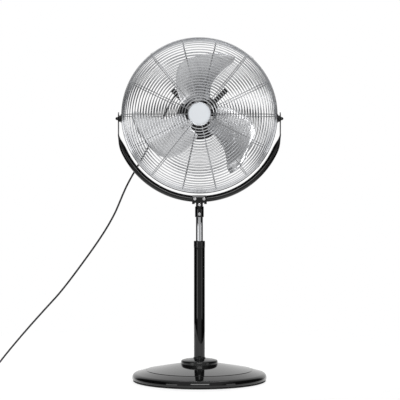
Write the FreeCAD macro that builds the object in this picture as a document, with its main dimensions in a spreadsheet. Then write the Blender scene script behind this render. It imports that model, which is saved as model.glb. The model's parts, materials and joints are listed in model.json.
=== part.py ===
import FreeCAD, Part
import Sketcher
import math
import os

# Pedestal fan, millimetres. +Z up, origin on the floor under the pole, front of the fan towards -Y.

SIZES = {
    # base
    "base_radius": 229.0, "lip_radius": 222.5, "lip_bottom": 3.0, "bulge_bottom": 8.0, "bulge_top": 12.0,
    "shoulder_radius": 217.0, "shoulder_top": 27.5, "shoulder_round": 16.0, "crease_radius": 181.0,
    "crease_bottom": 36.2, "crease_top": 37.4, "crown_radius": 64.0, "crown_top": 57.5, "shell_wall": 1.6,
    "rubber_half": 3.0, "weight_radius": 125.0, "weight_bottom": 7.0, "weight_thick": 7.0,
    "weight_hub": 42.0, "stud_pitch": 34.0, "stud_radius": 4.0,
    "cover_radius": 62.6, "cover_side": 64.0, "cover_top": 76.0, "cover_round": 11.0, "cover_wall": 1.4,
    "flange_radius": 46.0, "flange_thick": 4.0, "foot_ring_radius": 20.75, "foot_ring_high": 3.6,
    # poles
    "outer_pole": 18.75, "outer_bore": 17.25, "collar_bottom": 452.0, "collar_top": 475.5,
    "collar_radius": 19.2, "collar_round": 3.0, "sleeve_bottom": 404.0, "inner_pole": 12.2,
    "inner_bore": 11.0, "inner_foot": 158.0, "inner_top": 586.0, "running_gap": 0.06, "close_gap": 0.05,
    "bush_thick": 12.0, "spigot_high": 30.0, "screw_height": 463.7, "screw_radius": 3.0,
    "screw_gap": 0.4, "knob_near": 22.6, "knob_thick": 15.0, "knob_web": 3.0, "knob_core": 10.5,
    "knob_lobe": 4.2,
    # neck
    "socket_radius": 15.0, "socket_bottom": 556.0, "socket_top": 592.0, "post_wide": 24.0,
    "post_thick": 14.0, "post_top": 603.6, "saddle_wide": 50.0, "saddle_bottom": 604.0,
    "saddle_top": 630.0, "saddle_deep": 16.0, "saddle_split": 0.6, "tongue_thick": 4.0,
    "tongue_bottom": 592.6, "ear_wide": 9.0, "ear_high": 4.0, "clamp_bolt_height": 566.0,
    "tongue_bolt_height": 598.2, "saddle_bolt_height": 617.9, "saddle_bolt_out": 15.4,
    "bolt_radius": 3.0, "bolt_head": 5.4, "bolt_head_high": 4.6, "nut_flats": 10.0, "nut_high": 5.0,
    # yoke and pivots
    "head_height": 901.0, "pivot_height": 891.0, "yoke_radius": 283.5, "yoke_tube": 11.0, "yoke_wall": 1.5,
    "yoke_end": 25.0, "tab_middle": 275.0, "tab_thick": 3.6, "tab_half_wide": 18.0, "tab_foot": 840.0,
    "tab_round": 895.0, "tab_lap": 5.0,
    "bush_radius": 11.0, "pivot_bush_thick": 5.0, "dome_radius": 6.4, "dome_long": 9.2, "lug_thick": 2.5,
    "lug_half_high": 14.0, "lug_front": -15.5, "lug_back": 15.0, "weld_nut_flats": 13.0,
    "weld_nut_thick": 6.0, "clip_thick": 1.2, "clip_wide": 14.0, "clip_leg": 5.4, "clip_gap": 0.1,
    # guard
    "rim_outer": 265.0, "rim_wire": 2.75, "rim_front": -19.0, "rim_back": -13.0, "wire": 1.5,
    "rib_wire": 1.4, "weld_gap": 0.1, "side_radius": 261.0, "side_step": 8.0, "ring_pitch": 9.2,
    "badge_radius": 39.5,
    "front_face": -92.0, "front_round": 55.0, "rear_face": 59.6, "rear_round": 49.0,
    # badge
    "badge_disc": 36.5, "badge_back": -90.4, "badge_thick": 5.2, "badge_ring_thick": 6.6,
    "plate_radius": 38.0, "plate_front": -87.4, "plate_thick": 1.4,
    # motor
    "motor_radius": 72.0, "motor_round": 10.0, "nose_round": 12.0, "motor_wall": 2.0, "motor_front": -8.0,
    "nose_radius": 19.5, "nose_front": -15.0, "shaft_hole": 6.5,
    "bracket_front": 55.0, "bracket_thick": 3.0, "bracket_hole": 67.0, "bracket_ring": 78.0,
    "arm_wide": 17.2, "arm_reach": 130.0, "motor_back": 104.0, "stator_radius": 66.0,
    "stator_bore": 30.0, "stator_front": 22.0, "stator_long": 27.0, "rotor_radius": 29.5,
    "shaft_radius": 5.0, "shaft_front": -66.0, "shaft_back": 100.0, "bearing_radius": 15.0,
    "bearing_wide": 9.0, "boss_pitch": 53.0, "boss_radius": 5.0, "through_bolt": 2.0,
    "bolt_start": 8.0, "bolt_cap": 4.0, "bolt_cap_high": 3.0, "winding_inner": 35.0, "winding_outer": 47.5,
    "winding_long": 9.5,
    "control_radius": 62.0, "control_back": 132.0, "control_wall": 2.0, "control_round": 9.0,
    "switch_radius": 14.0, "switch_gap": 4.0, "stem_radius": 3.0, "dial_radius": 16.0, "dial_thick": 14.0,
    "dial_gap": 1.0, "grip_wide": 5.0, "grip_high": 4.0, "capacitor_wide": 44.0, "capacitor_thick": 20.0,
    "capacitor_high": 24.0, "capacitor_up": 22.0,
    # rotor
    "hub_radius": 13.0, "hub_front": -60.0, "hub_back": -18.0, "blade_middle": -45.0, "blade_thick": 2.0,
    "blade_hollow": 6.5, "blade_slope": 31.0, "rivet_radius": 2.2, "rivet_head": 4.2,
    # cord
    "cord_radius": 3.25, "coil_turn": 36.0, "coil_turns": 2.25, "coil_slack": 0.4, "tie_wide": 9.0,
    "tie_thick": 1.5, "gland_radius": 8.0, "gland_long": 18.0, "boot_long": 32.0, "boot_root": 6.8,
    "boot_tip": 4.2, "plug_boot": 14.0, "plug_boot_wide": 7.5, "plug_wide": 24.0, "plug_high": 21.0,
    "plug_long": 24.0, "plug_round": 4.0, "pin_long": 16.0, "pin_thick": 1.5, "pin_high": 6.3,
    "pin_out": 6.35, "earth_pin": 2.4, "earth_long": 18.0,
}

# A blade's outline: radius, then the angles of its trailing and leading edges from the blade's middle.
BLADE_OUTLINE = (
    (46.0, -33.0, -2.0), (52.0, -38.0, 20.0), (60.0, -41.5, 38.0), (70.0, -41.0, 45.0),
    (84.0, -35.5, 41.0), (106.0, -32.2, 33.8), (134.0, -34.0, 26.5), (163.0, -37.4, 18.6),
    (183.0, -40.0, 12.0), (196.0, -41.8, 2.0), (205.0, -42.6, -14.5), (216.0, -42.6, -24.5),
    (225.5, -41.9, -36.0),
)
ARM_OUTLINE = ((11.5, -28.0, 24.0), (24.0, -22.0, 20.0), (45.0, -15.0, 15.0), (78.0, -11.0, 11.0))
BLADE_ANGLES = {"blade_upper_left": 100.0, "blade_lower_left": 220.0, "blade_right": 340.0}
RIVET_PLACES = ((56.0, 3.0), (71.0, -3.0))
RIB_COUNT = 14
LOBE_COUNT = 5
REAR_FIRST_RING = 5
LAST_FACE_RING = 18
FRONT_RIB_START = 12.0
REAR_RIB_START = 93.2
CLIP_ANGLES = (48.0, 127.0, 219.0, 319.0)
# The yoke's tube on its way from round to flat: angle along the bend, half thickness, half width.
PRESSED_STAGES = ((-21.0, 9.4, 12.4), (-18.5, 7.0, 14.6), (-16.5, 4.6, 16.2))
BEND_SHARE = 0.45

# The cord's route, by the body that carries each stretch, then the short tail from the coil to the plug.
GLAND_START = FreeCAD.Vector(-46, 88, 947)
GLAND_AIM = FreeCAD.Vector(-0.3, 0.8, 0.52).normalize()
CORD_UPPER = (
    (-61, 128, 973), (-66.5, 142.5, 982.5), (-74.5, 157, 986), (-84, 170, 983), (-94, 179.5, 973.5),
    (-104, 185, 957), (-117, 187, 930), (-135, 186, 893), (-160, 183, 842), (-194, 178, 776),
    (-230, 172, 713),
)
CORD_MIDDLE = (
    (-230.03, 171.995, 712.95), (-250.81, 168.53, 676.59), (-268.5, 166.8, 638), (-284, 166, 600),
    (-300, 165, 563), (-332, 163, 506), (-382, 161, 432), (-433, 160, 363),
)
CORD_LOWER = (
    (-433.04, 160, 362.95), (-481.49, 159.05, 297.4), (-540, 159.8, 234), (-595, 161, 173),
    (-645, 162, 115), (-684, 163.5, 68), (-711, 164.5, 33), (-739, 165.5, 9.5), (-770, 166, 3.25),
    (-800, 166, 3.25),
)
CORD_TAIL = (
    (-836, 130, 17.9), (-836, 112, 17.4), (-836.5, 93, 12), (-837, 77, 10.5), (-837, 62.05, 10.5),
)
COIL_CENTRE = FreeCAD.Vector(-800, 130, 0)
PLUG_BACK = FreeCAD.Vector(-837, 62, 10.5)

X_AXIS = FreeCAD.Vector(1, 0, 0)
Y_AXIS = FreeCAD.Vector(0, 1, 0)
Z_AXIS = FreeCAD.Vector(0, 0, 1)
TURNS = {"X": FreeCAD.Rotation(Y_AXIS, 90), "Y": FreeCAD.Rotation(X_AXIS, -90), "Z": FreeCAD.Rotation()}


class Size:
    """A number together with the expression that binds it to the sheet."""

    def __init__(self, text, value):
        self.text = text
        self.value = value

    def __add__(self, other):
        return Size(f"({self.text} + {words(other)})", self.value + number(other))

    def __radd__(self, other):
        return self + other

    def __sub__(self, other):
        return Size(f"({self.text} - {words(other)})", self.value - number(other))

    def __rsub__(self, other):
        return Size(f"({words(other)} - {self.text})", number(other) - self.value)

    def __mul__(self, other):
        return Size(f"({self.text} * {words(other)})", self.value * number(other))

    def __rmul__(self, other):
        return self * other

    def __truediv__(self, other):
        return Size(f"({self.text} / {words(other)})", self.value / number(other))

    def __neg__(self):
        return Size(f"(0 - {self.text})", -self.value)


def number(item):
    return item.value if isinstance(item, Size) else item


def words(item):
    return item.text if isinstance(item, Size) else repr(item)


def size(alias):
    return Size(f"Sizes.{alias}", SIZES[alias])


def vector(*places):
    return FreeCAD.Vector(*[number(place) for place in places])


doc = FreeCAD.newDocument("PedestalFan")
sheet = doc.addObject("Spreadsheet::Sheet", "Sizes")
for row, (alias, amount) in enumerate(SIZES.items(), start=1):
    sheet.set(f"A{row}", alias)
    sheet.set(f"B{row}", str(amount))
    sheet.setAlias(f"B{row}", alias)
doc.recompute()

nodes = []


def node(label, item):
    """Names a finished sub-part; the label is also its file's name."""
    item.Label = label
    nodes.append(item)
    return item


def bind(item, prop, amount):
    if isinstance(amount, Size):
        item.setExpression(prop, amount.text)
    else:
        setattr(item, prop, amount)


def place(item, at, axis="Z"):
    item.Placement = FreeCAD.Placement(vector(*at), TURNS[axis])
    for letter, amount in zip("xyz", at):
        if isinstance(amount, Size):
            item.setExpression(f"Placement.Base.{letter}", amount.text)
    return item


def rod(radius, length, at, axis="Z"):
    item = doc.addObject("Part::Cylinder", "Rod")
    bind(item, "Radius", radius)
    bind(item, "Height", length)
    return place(item, at, axis)


def cone(near, far, length, at, axis="Z"):
    item = doc.addObject("Part::Cone", "Cone")
    bind(item, "Radius1", near)
    bind(item, "Radius2", far)
    bind(item, "Height", length)
    return place(item, at, axis)


def ring(radius, wire, at, axis="Z"):
    item = doc.addObject("Part::Torus", "Ring")
    bind(item, "Radius1", radius)
    bind(item, "Radius2", wire)
    return place(item, at, axis)


def block(across, deep, high, at):
    """A box centred on at in x and y, standing on it in z."""
    item = doc.addObject("Part::Box", "Block")
    bind(item, "Length", across)
    bind(item, "Width", deep)
    bind(item, "Height", high)
    return place(item, (at[0] - across / 2, at[1] - deep / 2, at[2]))


def hexagon(flats, high, at, axis="Z"):
    item = doc.addObject("Part::Prism", "Hexagon")
    item.Polygon = 6
    bind(item, "Circumradius", flats / math.sqrt(3))
    bind(item, "Height", high)
    return place(item, at, axis)


def union(*items):
    item = doc.addObject("Part::MultiFuse", "Union")
    item.Shapes = list(items)
    return item


def minus(base, *tools):
    item = doc.addObject("Part::Cut", "Minus")
    item.Base = base
    item.Tool = tools[0] if len(tools) == 1 else union(*tools)
    return item


def together(*items):
    item = doc.addObject("Part::Compound", "Together")
    item.Links = list(items)
    return item


def tube(outer, inner, length, at, axis="Z"):
    start = list(at)
    along = "XYZ".index(axis)
    start[along] = start[along] - 1
    return minus(rod(outer, length, at, axis), rod(inner, length + 2, start, axis))


def turned(label, outline, at=(0, 0, 0), axis="Z"):
    """A body turned about its axis. Each corner is (radius, height), and a corner that an arc leads
    to adds the arc's radius, positive where it bulges to the left of the way there."""
    body = doc.addObject("PartDesign::Body", label)
    plane = next(item for item in body.Origin.OriginFeatures if item.Role == "XZ_Plane")
    sketch = body.newObject("Sketcher::SketchObject", label + "Outline")
    sketch.AttachmentSupport = [(plane, "")]
    sketch.MapMode = "FlatFace"
    corners = [vector(corner[0], corner[1], 0) for corner in outline]
    starts = []
    ends = []
    for index, corner in enumerate(corners):
        before = corners[index - 1]
        if len(outline[index]) == 2:
            sketch.addGeometry(Part.LineSegment(before, corner), False)
            starts.append(1)
            ends.append(2)
        else:
            bend = number(outline[index][2])
            chord = corner - before
            left = FreeCAD.Vector(-chord.y, chord.x, 0).normalize()
            rise = abs(bend) - math.sqrt(bend * bend - chord.Length ** 2 / 4)
            middle = (before + corner) / 2 + left * math.copysign(rise, bend)
            leftward = bend > 0
            order = (corner, middle, before) if leftward else (before, middle, corner)
            sketch.addGeometry(Part.Arc(*order), False)
            starts.append(2 if leftward else 1)
            ends.append(1 if leftward else 2)
    for index, corner in enumerate(outline):
        following = (index + 1) % len(outline)
        make = Sketcher.Constraint
        sketch.addConstraint(make("Coincident", index, ends[index], following, starts[following]))
        for kind, amount in (("DistanceX", corner[0]), ("DistanceY", corner[1])):
            placed = sketch.addConstraint(make(kind, -1, 1, index, ends[index], number(amount)))
            if isinstance(amount, Size):
                sketch.setExpression(f"Constraints[{placed}]", amount.text)
        if len(corner) > 2:
            bent = sketch.addConstraint(make("Radius", index, abs(number(corner[2]))))
            if isinstance(corner[2], Size):
                sign = "" if corner[2].value > 0 else "-"
                sketch.setExpression(f"Constraints[{bent}]", sign + corner[2].text)
    spin = body.newObject("PartDesign::Revolution", label + "Turned")
    spin.Profile = sketch
    spin.ReferenceAxis = (sketch, ["V_Axis"])
    spin.Angle = 360
    return place(body, at, axis)


def shaped(label, shape):
    """A sub-part whose form no primitive or sketch gives."""
    item = doc.addObject("Part::Feature", label)
    item.Shape = shape
    return item


def spun(shape, angle, centre, axis):
    copy = shape.copy()
    copy.rotate(centre, axis, angle)
    return copy


def seen_angle(shape, angle):
    """Turns a shape about the fan's own axis, anticlockwise as seen from the front."""
    return spun(shape, -angle, vector(0, 0, size("head_height")), Y_AXIS)


def head_point(radius, angle, depth):
    """A point by its radius and its angle from +X, anticlockwise as seen from the front."""
    turn = math.radians(angle)
    height = SIZES["head_height"] + radius * math.sin(turn)
    return FreeCAD.Vector(radius * math.cos(turn), depth, height)


def pipe(points, radius):
    """A round tube along straight runs joined by tangent arcs, each as large as its runs allow."""
    corners = [FreeCAD.Vector(*point) for point in points]
    edges = []
    radii = []
    start = corners[0]
    for before, corner, after in zip(corners, corners[1:], corners[2:]):
        back = before - corner
        ahead = after - corner
        turn = math.pi - back.getAngle(ahead)
        reach = BEND_SHARE * min(back.Length, ahead.Length)
        bend = reach / math.tan(turn / 2)
        back.normalize()
        ahead.normalize()
        first = corner + back * reach
        last = corner + ahead * reach
        inward = (back + ahead).normalize()
        middle = corner + inward * (bend / math.cos(turn / 2) - bend)
        edges += [Part.LineSegment(start, first).toShape(), Part.Arc(first, middle, last).toShape()]
        radii.append(round(bend))
        start = last
    edges.append(Part.LineSegment(start, corners[-1]).toShape())
    path = Part.Wire(edges)
    mouth = Part.Wire(Part.makeCircle(radius, corners[0], corners[1] - corners[0]))
    solid = path.makePipeShell([mouth], True, False)
    expected = math.pi * radius ** 2 * path.Length
    print(f"tube {path.Length:.0f} long, volume ratio {solid.Volume / expected:.4f}, bends {radii}")
    return solid


def screw(reach, at):
    """A round-headed screw along Y: its shank runs back from at, its head stands in front."""
    across, near, up = at
    face = near - size("bolt_head_high")
    shank = rod(size("bolt_radius"), reach, at, "Y")
    cap = rod(size("bolt_head"), size("bolt_head_high"), (across, face, up), "Y")
    socket = hexagon(size("bolt_radius"), size("bolt_head_high") / 2, (across, face, up), "Y")
    return union(shank, minus(cap, socket))


def nut(flats, high, bore, at):
    """A hexagon nut along Y."""
    across, near, up = at
    return minus(hexagon(flats, high, at, "Y"), rod(bore, high + 2, (across, near - 1, up), "Y"))


def base_shell():
    wall = size("shell_wall")
    under = size("crown_top") - wall
    outline = [
        (size("stud_radius") * 2, under),
        (size("crown_radius") - 1, under),
        (size("crease_radius") - 1, size("crease_top") - wall),
        (size("crease_radius"), size("crease_bottom") - wall),
        (size("shoulder_radius") - 1, size("shoulder_top") - wall),
        (size("base_radius") - wall, size("bulge_top"), size("shoulder_round") - wall),
        (size("base_radius") - wall, size("bulge_bottom")),
        (size("lip_radius") - wall, size("lip_bottom")),
        (size("lip_radius") + wall, size("lip_bottom")),
        (size("base_radius"), size("bulge_bottom")),
        (size("base_radius"), size("bulge_top")),
        (size("shoulder_radius"), size("shoulder_top"), -size("shoulder_round")),
        (size("crease_radius"), size("crease_bottom")),
        (size("crease_radius") - 1.5, size("crease_top")),
        (size("crown_radius"), size("crown_top")),
        (size("stud_radius") * 2, size("crown_top")),
    ]
    shell = turned("BaseShellBody", outline)
    holes = [rod(size("stud_radius") + 0.2, 10, (x, y, under - 4)) for x, y in stud_places()]
    node("base_shell", minus(shell, *holes))


def stud_places():
    pitch = size("stud_pitch")
    return ((pitch, 0), (-pitch, 0), (0, pitch), (0, -pitch))


def base_inside():
    """The iron weight disc with its hub, and the rubber ring that the shell's lip stands in."""
    disc = rod(size("weight_radius"), size("weight_thick"), (0, 0, size("weight_bottom")))
    hub_high = size("crown_top") - size("shell_wall") - size("weight_bottom")
    hub = rod(size("weight_hub"), hub_high, (0, 0, size("weight_bottom")))
    depth = 26
    top = size("crown_top") - size("shell_wall") - depth
    holes = [rod(size("stud_radius") + 0.05, depth + 2, (x, y, top)) for x, y in stud_places()]
    node("base_weight", minus(union(disc, hub), *holes))
    half = size("rubber_half")
    rubber = tube(size("lip_radius") + half, size("lip_radius") - half, size("lip_bottom"), (0, 0, 0))
    node("base_rubber_ring", rubber)


def base_cover():
    wall = size("cover_wall")
    hole = size("outer_pole") + 0.3
    outline = [
        (size("cover_radius") - wall, size("crown_top")),
        (size("cover_radius"), size("crown_top")),
        (size("cover_radius"), size("cover_side")),
        (size("cover_radius") - 8, size("cover_side") + 7, -size("cover_round")),
        (hole, size("cover_top")),
        (hole, size("cover_top") - wall),
        (size("cover_radius") - 8 - wall, size("cover_side") + 7 - wall),
        (size("cover_radius") - wall, size("cover_side"), size("cover_round") - wall),
    ]
    node("base_cover", turned("BaseCoverBody", outline))


def pole_foot():
    """The flange that the outer pole stands on, its bolts, and the ring where the pole meets the cover."""
    plate = rod(size("flange_radius"), size("flange_thick"), (0, 0, size("crown_top")))
    floor = size("crown_top") + size("flange_thick")
    spigot = rod(size("outer_bore") - 0.05, 5, (0, 0, floor))
    holes = [rod(size("stud_radius") + 0.2, 8, (x, y, size("crown_top") - 2)) for x, y in stud_places()]
    node("pole_flange", minus(union(plate, spigot), *holes))
    bolts = []
    for x, y in stud_places():
        shank = rod(size("stud_radius"), 26, (x, y, floor - 26))
        bolts.append(union(shank, hexagon(size("weld_nut_flats"), 5, (x, y, floor))))
    node("flange_bolts", together(*bolts))
    foot = tube(size("foot_ring_radius"), size("outer_pole") + 0.05, size("foot_ring_high"),
                (0, 0, size("cover_top")))
    node("pole_foot_ring", foot)
    node("outer_pole", tube(size("outer_pole"), size("outer_bore"), size("collar_bottom") - floor,
                            (0, 0, floor)))


def height_collar():
    """The collar on the outer pole, its sleeve inside the pole, and the clamp screw with its knob."""
    bore = size("inner_pole") + size("running_gap")
    outline = [
        (bore, size("sleeve_bottom")),
        (size("outer_bore") - 0.05, size("sleeve_bottom")),
        (size("outer_bore") - 0.05, size("collar_bottom")),
        (size("collar_radius"), size("collar_bottom")),
        (size("collar_radius"), size("collar_top") - size("collar_round")),
        (size("collar_radius") - size("collar_round"), size("collar_top"), -size("collar_round")),
        (bore, size("collar_top")),
    ]
    hole = rod(size("screw_radius") + size("running_gap"), 12, (0, 10, size("screw_height")), "Y")
    node("height_collar", minus(turned("CollarBody", outline), hole))
    start = size("inner_pole") + size("screw_gap")
    reach = size("knob_near") + size("knob_thick") - size("knob_web") - start
    tip = (0, start, size("screw_height"))
    node("height_screw", rod(size("screw_radius"), reach, tip, "Y"))
    near = size("knob_near")
    core = rod(size("knob_core"), size("knob_thick"), (0, near, size("screw_height")), "Y")
    lobes = []
    for count in range(LOBE_COUNT):
        turn = 2 * math.pi * count / LOBE_COUNT
        across = size("knob_core") * math.sin(turn)
        up = size("screw_height") + size("knob_core") * math.cos(turn)
        lobes.append(rod(size("knob_lobe"), size("knob_thick") - 2, (across, near + 1, up), "Y"))
    socket_long = size("knob_thick") - size("knob_web")
    socket = rod(size("screw_radius"), socket_long, (0, near, size("screw_height")), "Y")
    node("height_knob", minus(union(core, *lobes), socket))


def inner_pole():
    long = size("inner_top") - size("inner_foot")
    node("inner_pole", tube(size("inner_pole"), size("inner_bore"), long, (0, 0, size("inner_foot"))))
    ring_part = rod(size("outer_bore") - size("running_gap"), size("bush_thick"),
                    (0, 0, size("inner_foot") - size("bush_thick")))
    spigot_radius = size("inner_bore") - size("running_gap")
    spigot = rod(spigot_radius, size("spigot_high"), (0, 0, size("inner_foot")))
    below = size("bush_thick") + 1
    through = size("spigot_high") + below + 1
    hollow = rod(size("inner_bore") - 4, through, (0, 0, size("inner_foot") - below))
    node("guide_bush", minus(union(ring_part, spigot), hollow))


def neck_socket():
    """The socket on top of the inner pole, with the flat post that the saddle's tongues grip."""
    foot = size("socket_bottom")
    top = size("socket_top")
    barrel = rod(size("socket_radius"), top - foot, (0, 0, foot))
    lap = 2
    post = block(size("post_wide"), size("post_thick"), size("post_top") - top + lap, (0, 0, top - lap))
    bore = rod(size("inner_pole") + size("close_gap"), size("inner_top") - foot + 1, (0, 0, foot - 1))
    clear = size("bolt_radius") + size("close_gap")
    outside = size("socket_radius") + 2
    clamp_hole = rod(clear, outside - 7, (0, -outside, size("clamp_bolt_height")), "Y")
    front = -size("post_thick") / 2 - 3
    post_hole = rod(clear, -front * 2, (0, front, size("tongue_bolt_height")), "Y")
    node("neck_socket", minus(union(barrel, post), bore, clamp_hole, post_hole))


def saddle(label, side):
    """One half of the saddle that grips the yoke's tube: side is -1 in front and 1 behind."""
    deep = size("saddle_deep") - size("saddle_split")
    middle = side * (size("saddle_split") + deep / 2)
    high = size("saddle_top") - size("saddle_bottom")
    cheek = block(size("saddle_wide"), deep, high, (0, middle, size("saddle_bottom")))
    across = (size("saddle_wide") - size("ear_wide")) / 2
    outer = side * (size("saddle_deep") - size("tongue_thick") / 2)
    ears = [block(size("ear_wide"), size("tongue_thick"), size("ear_high") + 1,
                  (way * across, outer, size("saddle_bottom") - size("ear_high"))) for way in (-1, 1)]
    against = side * (size("post_thick") / 2 + size("close_gap") + size("tongue_thick") / 2)
    foot = size("tongue_bottom")
    high = size("saddle_bottom") - foot + 1
    tongue = block(size("post_wide"), size("tongue_thick"), high, (0, against, foot))
    grip = size("yoke_tube") + size("close_gap")
    groove = ring(size("yoke_radius"), grip, (0, 0, size("head_height")), "Y")
    clear = size("bolt_radius") + size("close_gap")
    start = -size("saddle_deep") - 6
    places = [(way * size("saddle_bolt_out"), size("saddle_bolt_height")) for way in (-1, 1)]
    places.append((0, size("tongue_bolt_height")))
    holes = [rod(clear, -start * 2, (x, start, z), "Y") for x, z in places]
    node(label, minus(union(cheek, tongue, *ears), groove, *holes))


def neck_bolts():
    """Two saddle bolts and the tongue bolt with their nuts, and the screw that clamps the inner pole."""
    outside = size("saddle_deep")
    tongue_face = size("post_thick") / 2 + size("close_gap") + size("tongue_thick")
    bolts = []
    nuts = []
    places = [(way * size("saddle_bolt_out"), outside, size("saddle_bolt_height")) for way in (-1, 1)]
    places.append((0, tongue_face, size("tongue_bolt_height")))
    for across, face, up in places:
        bolts.append(screw(face * 2 + size("nut_high") + 1.5, (across, -face, up)))
        bore = size("bolt_radius") + 0.02
        nuts.append(nut(size("nut_flats"), size("nut_high"), bore, (across, face, up)))
    lift = 0.1
    bolts.append(screw(size("socket_radius") - size("inner_pole") - lift,
                       (0, -size("socket_radius") - lift, size("clamp_bolt_height"))))
    node("neck_bolts", together(*bolts))
    node("neck_nuts", together(*nuts))


def yoke():
    """One tube bent round under the guard, its ends pressed flat and bored for the pivots."""
    centre = vector(0, 0, size("head_height"))
    bend = SIZES["yoke_radius"]
    first = -SIZES["yoke_end"]
    start = head_point(bend, first, 0)
    lean = math.radians(SIZES["yoke_end"])
    along = FreeCAD.Vector(math.sin(lean), 0, math.cos(lean))
    outer = Part.Face(Part.Wire(Part.makeCircle(SIZES["yoke_tube"], start, along)))
    bore = Part.Face(Part.Wire(Part.makeCircle(SIZES["yoke_tube"] - SIZES["yoke_wall"], start, along)))
    arch = outer.cut(bore).revolve(centre, Y_AXIS, 180 + 2 * first)
    clear = SIZES["bolt_radius"] + SIZES["close_gap"]
    holes = []
    for way in (-1, 1):
        arch = arch.fuse([pressed_end(way), yoke_tab(way)])
        pivot = FreeCAD.Vector(way * SIZES["tab_middle"] - 6, 0, SIZES["pivot_height"])
        holes.append(Part.makeCylinder(clear, 12, pivot, X_AXIS))
        grip = FreeCAD.Vector(way * SIZES["saddle_bolt_out"], -20, SIZES["saddle_bolt_height"])
        holes.append(Part.makeCylinder(clear, 40, grip, Y_AXIS))
    node("yoke", shaped("Yoke", arch.cut(holes)))


def pressed_end(way):
    """Where the yoke's tube goes from round to flat, starting inside the tube and ending inside the tab."""
    plugged = SIZES["yoke_tube"] - SIZES["yoke_wall"] / 2
    stages = ((-27, plugged, plugged), (-24.5, plugged, plugged), *PRESSED_STAGES)
    sections = [flattened(head_point(SIZES["yoke_radius"], angle, 0), angle, flat, wide, way)
                for angle, flat, wide in stages]
    flat = SIZES["tab_thick"] / 2 - 0.1
    wide = SIZES["tab_half_wide"] - 0.4
    for up in (SIZES["tab_foot"], SIZES["tab_foot"] + SIZES["tab_lap"]):
        sections.append(flattened(FreeCAD.Vector(SIZES["tab_middle"], 0, up), 0, flat, wide, way))
    return Part.makeLoft(sections, True, True)


def yoke_tab(way):
    """The flat end of the yoke's tube, round at the top."""
    inner_face = SIZES["tab_middle"] - SIZES["tab_thick"] / 2
    left = inner_face if way > 0 else -inner_face - SIZES["tab_thick"]
    half = SIZES["tab_half_wide"]
    foot = SIZES["tab_foot"]
    top = SIZES["tab_round"]
    places = ((-half, top), (-half, foot), (half, foot), (half, top))
    corners = [FreeCAD.Vector(left, y, z) for y, z in places]
    edges = [Part.LineSegment(near, far).toShape() for near, far in zip(corners, corners[1:])]
    edges.append(Part.Arc(corners[3], FreeCAD.Vector(left, 0, top + half), corners[0]).toShape())
    return Part.Face(Part.Wire(edges)).extrude(X_AXIS * SIZES["tab_thick"])


def flattened(middle, angle, flat, wide, way):
    """An oval section across the yoke's run: flat in the fan's plane, wide across it."""
    lean = math.radians(angle)
    out = FreeCAD.Vector(math.cos(lean), 0, math.sin(lean))
    points = []
    for count in range(24):
        turn = 2 * math.pi * count / 24
        points.append(middle + out * (flat * math.cos(turn)) + Y_AXIS * (wide * math.sin(turn)))
    if way < 0:
        points = [FreeCAD.Vector(-point.x, point.y, point.z) for point in points]
    curve = Part.BSplineCurve()
    curve.interpolate(points, PeriodicFlag=True)
    return Part.Wire(curve.toShape())


def span(way, near, far):
    """Where a piece between two distances from the middle starts on the side way, and how long it is."""
    return (near, far - near) if way > 0 else (-far, far - near)


def pivots():
    """At each side a domed bolt through the yoke's tab and a bush, into a nut welded to the guard's lug."""
    bolts = []
    bushes = []
    lugs = []
    up = size("pivot_height")
    tab_in = size("tab_middle") - size("tab_thick") / 2
    tab_out = size("tab_middle") + size("tab_thick") / 2
    lug_in = size("rim_outer") + 0.02
    nut_in = lug_in - size("weld_nut_thick")
    clear = size("bolt_radius") + size("running_gap")
    waist = tab_out + size("dome_long") * 0.45
    for way in (-1, 1):
        start, reach = span(way, nut_in - 1.5, tab_out)
        shank = rod(size("bolt_radius"), reach, (start, 0, up), "X")
        start, reach = span(way, tab_out, waist)
        washer = rod(size("dome_radius"), reach, (start, 0, up), "X")
        start, reach = span(way, waist, tab_out + size("dome_long"))
        wide = (size("dome_radius") * 0.92, size("dome_radius") * 0.45)
        near, far = wide if way > 0 else reversed(wide)
        bolts.append(union(shank, washer, cone(near, far, reach, (start, 0, up), "X")))
        start, reach = span(way, tab_in - 0.05 - size("pivot_bush_thick"), tab_in - 0.05)
        bushes.append(tube(size("bush_radius"), size("bolt_radius") + 0.05, reach, (start, 0, up), "X"))
        start, reach = span(way, lug_in, lug_in + size("lug_thick"))
        high = size("lug_half_high") * 2
        deep = size("lug_back") - size("lug_front")
        plate = block(reach, deep, high, (start + reach / 2, size("lug_front") + deep / 2, up - high / 2))
        start, reach = span(way, nut_in, lug_in)
        weld_nut = hexagon(size("weld_nut_flats"), reach, (start, 0, up), "X")
        start, reach = span(way, nut_in - 1, lug_in + size("lug_thick") + 1)
        lugs.append(minus(union(plate, weld_nut), rod(clear, reach, (start, 0, up), "X")))
    node("pivot_bolts", together(*bolts))
    node("pivot_bushes", together(*bushes))
    node("pivot_lugs", together(*lugs))


def guard_wires():
    """Both halves of the guard: rings on the face, rings round the shoulder and side, and the ribs."""
    up = size("head_height")
    for side, first in (("front", 1), ("rear", REAR_FIRST_RING)):
        face = size(f"{side}_face")
        rings = [ring(size("badge_radius") + size("ring_pitch") * count, size("wire"), (0, face, up), "Y")
                 for count in range(first, LAST_FACE_RING + 1)]
        node(f"{side}_guard_rings", together(*rings))
    node("front_guard_side_rings", together(*side_rings("front", 1)))
    node("rear_guard_side_rings", together(*side_rings("rear", 0.25)))
    node("front_guard_ribs", shaped("FrontRibs", ribs("front", FRONT_RIB_START, SIZES["rim_front"] + 2)))
    node("rear_guard_ribs", shaped("RearRibs", ribs("rear", REAR_RIB_START, SIZES["rim_back"] - 2)))
    rims = [ring(size("rim_outer") - size("rim_wire"), size("rim_wire"), (0, size(depth), up), "Y")
            for depth in ("rim_front", "rim_back")]
    node("rim_rings", together(*rims))


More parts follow.
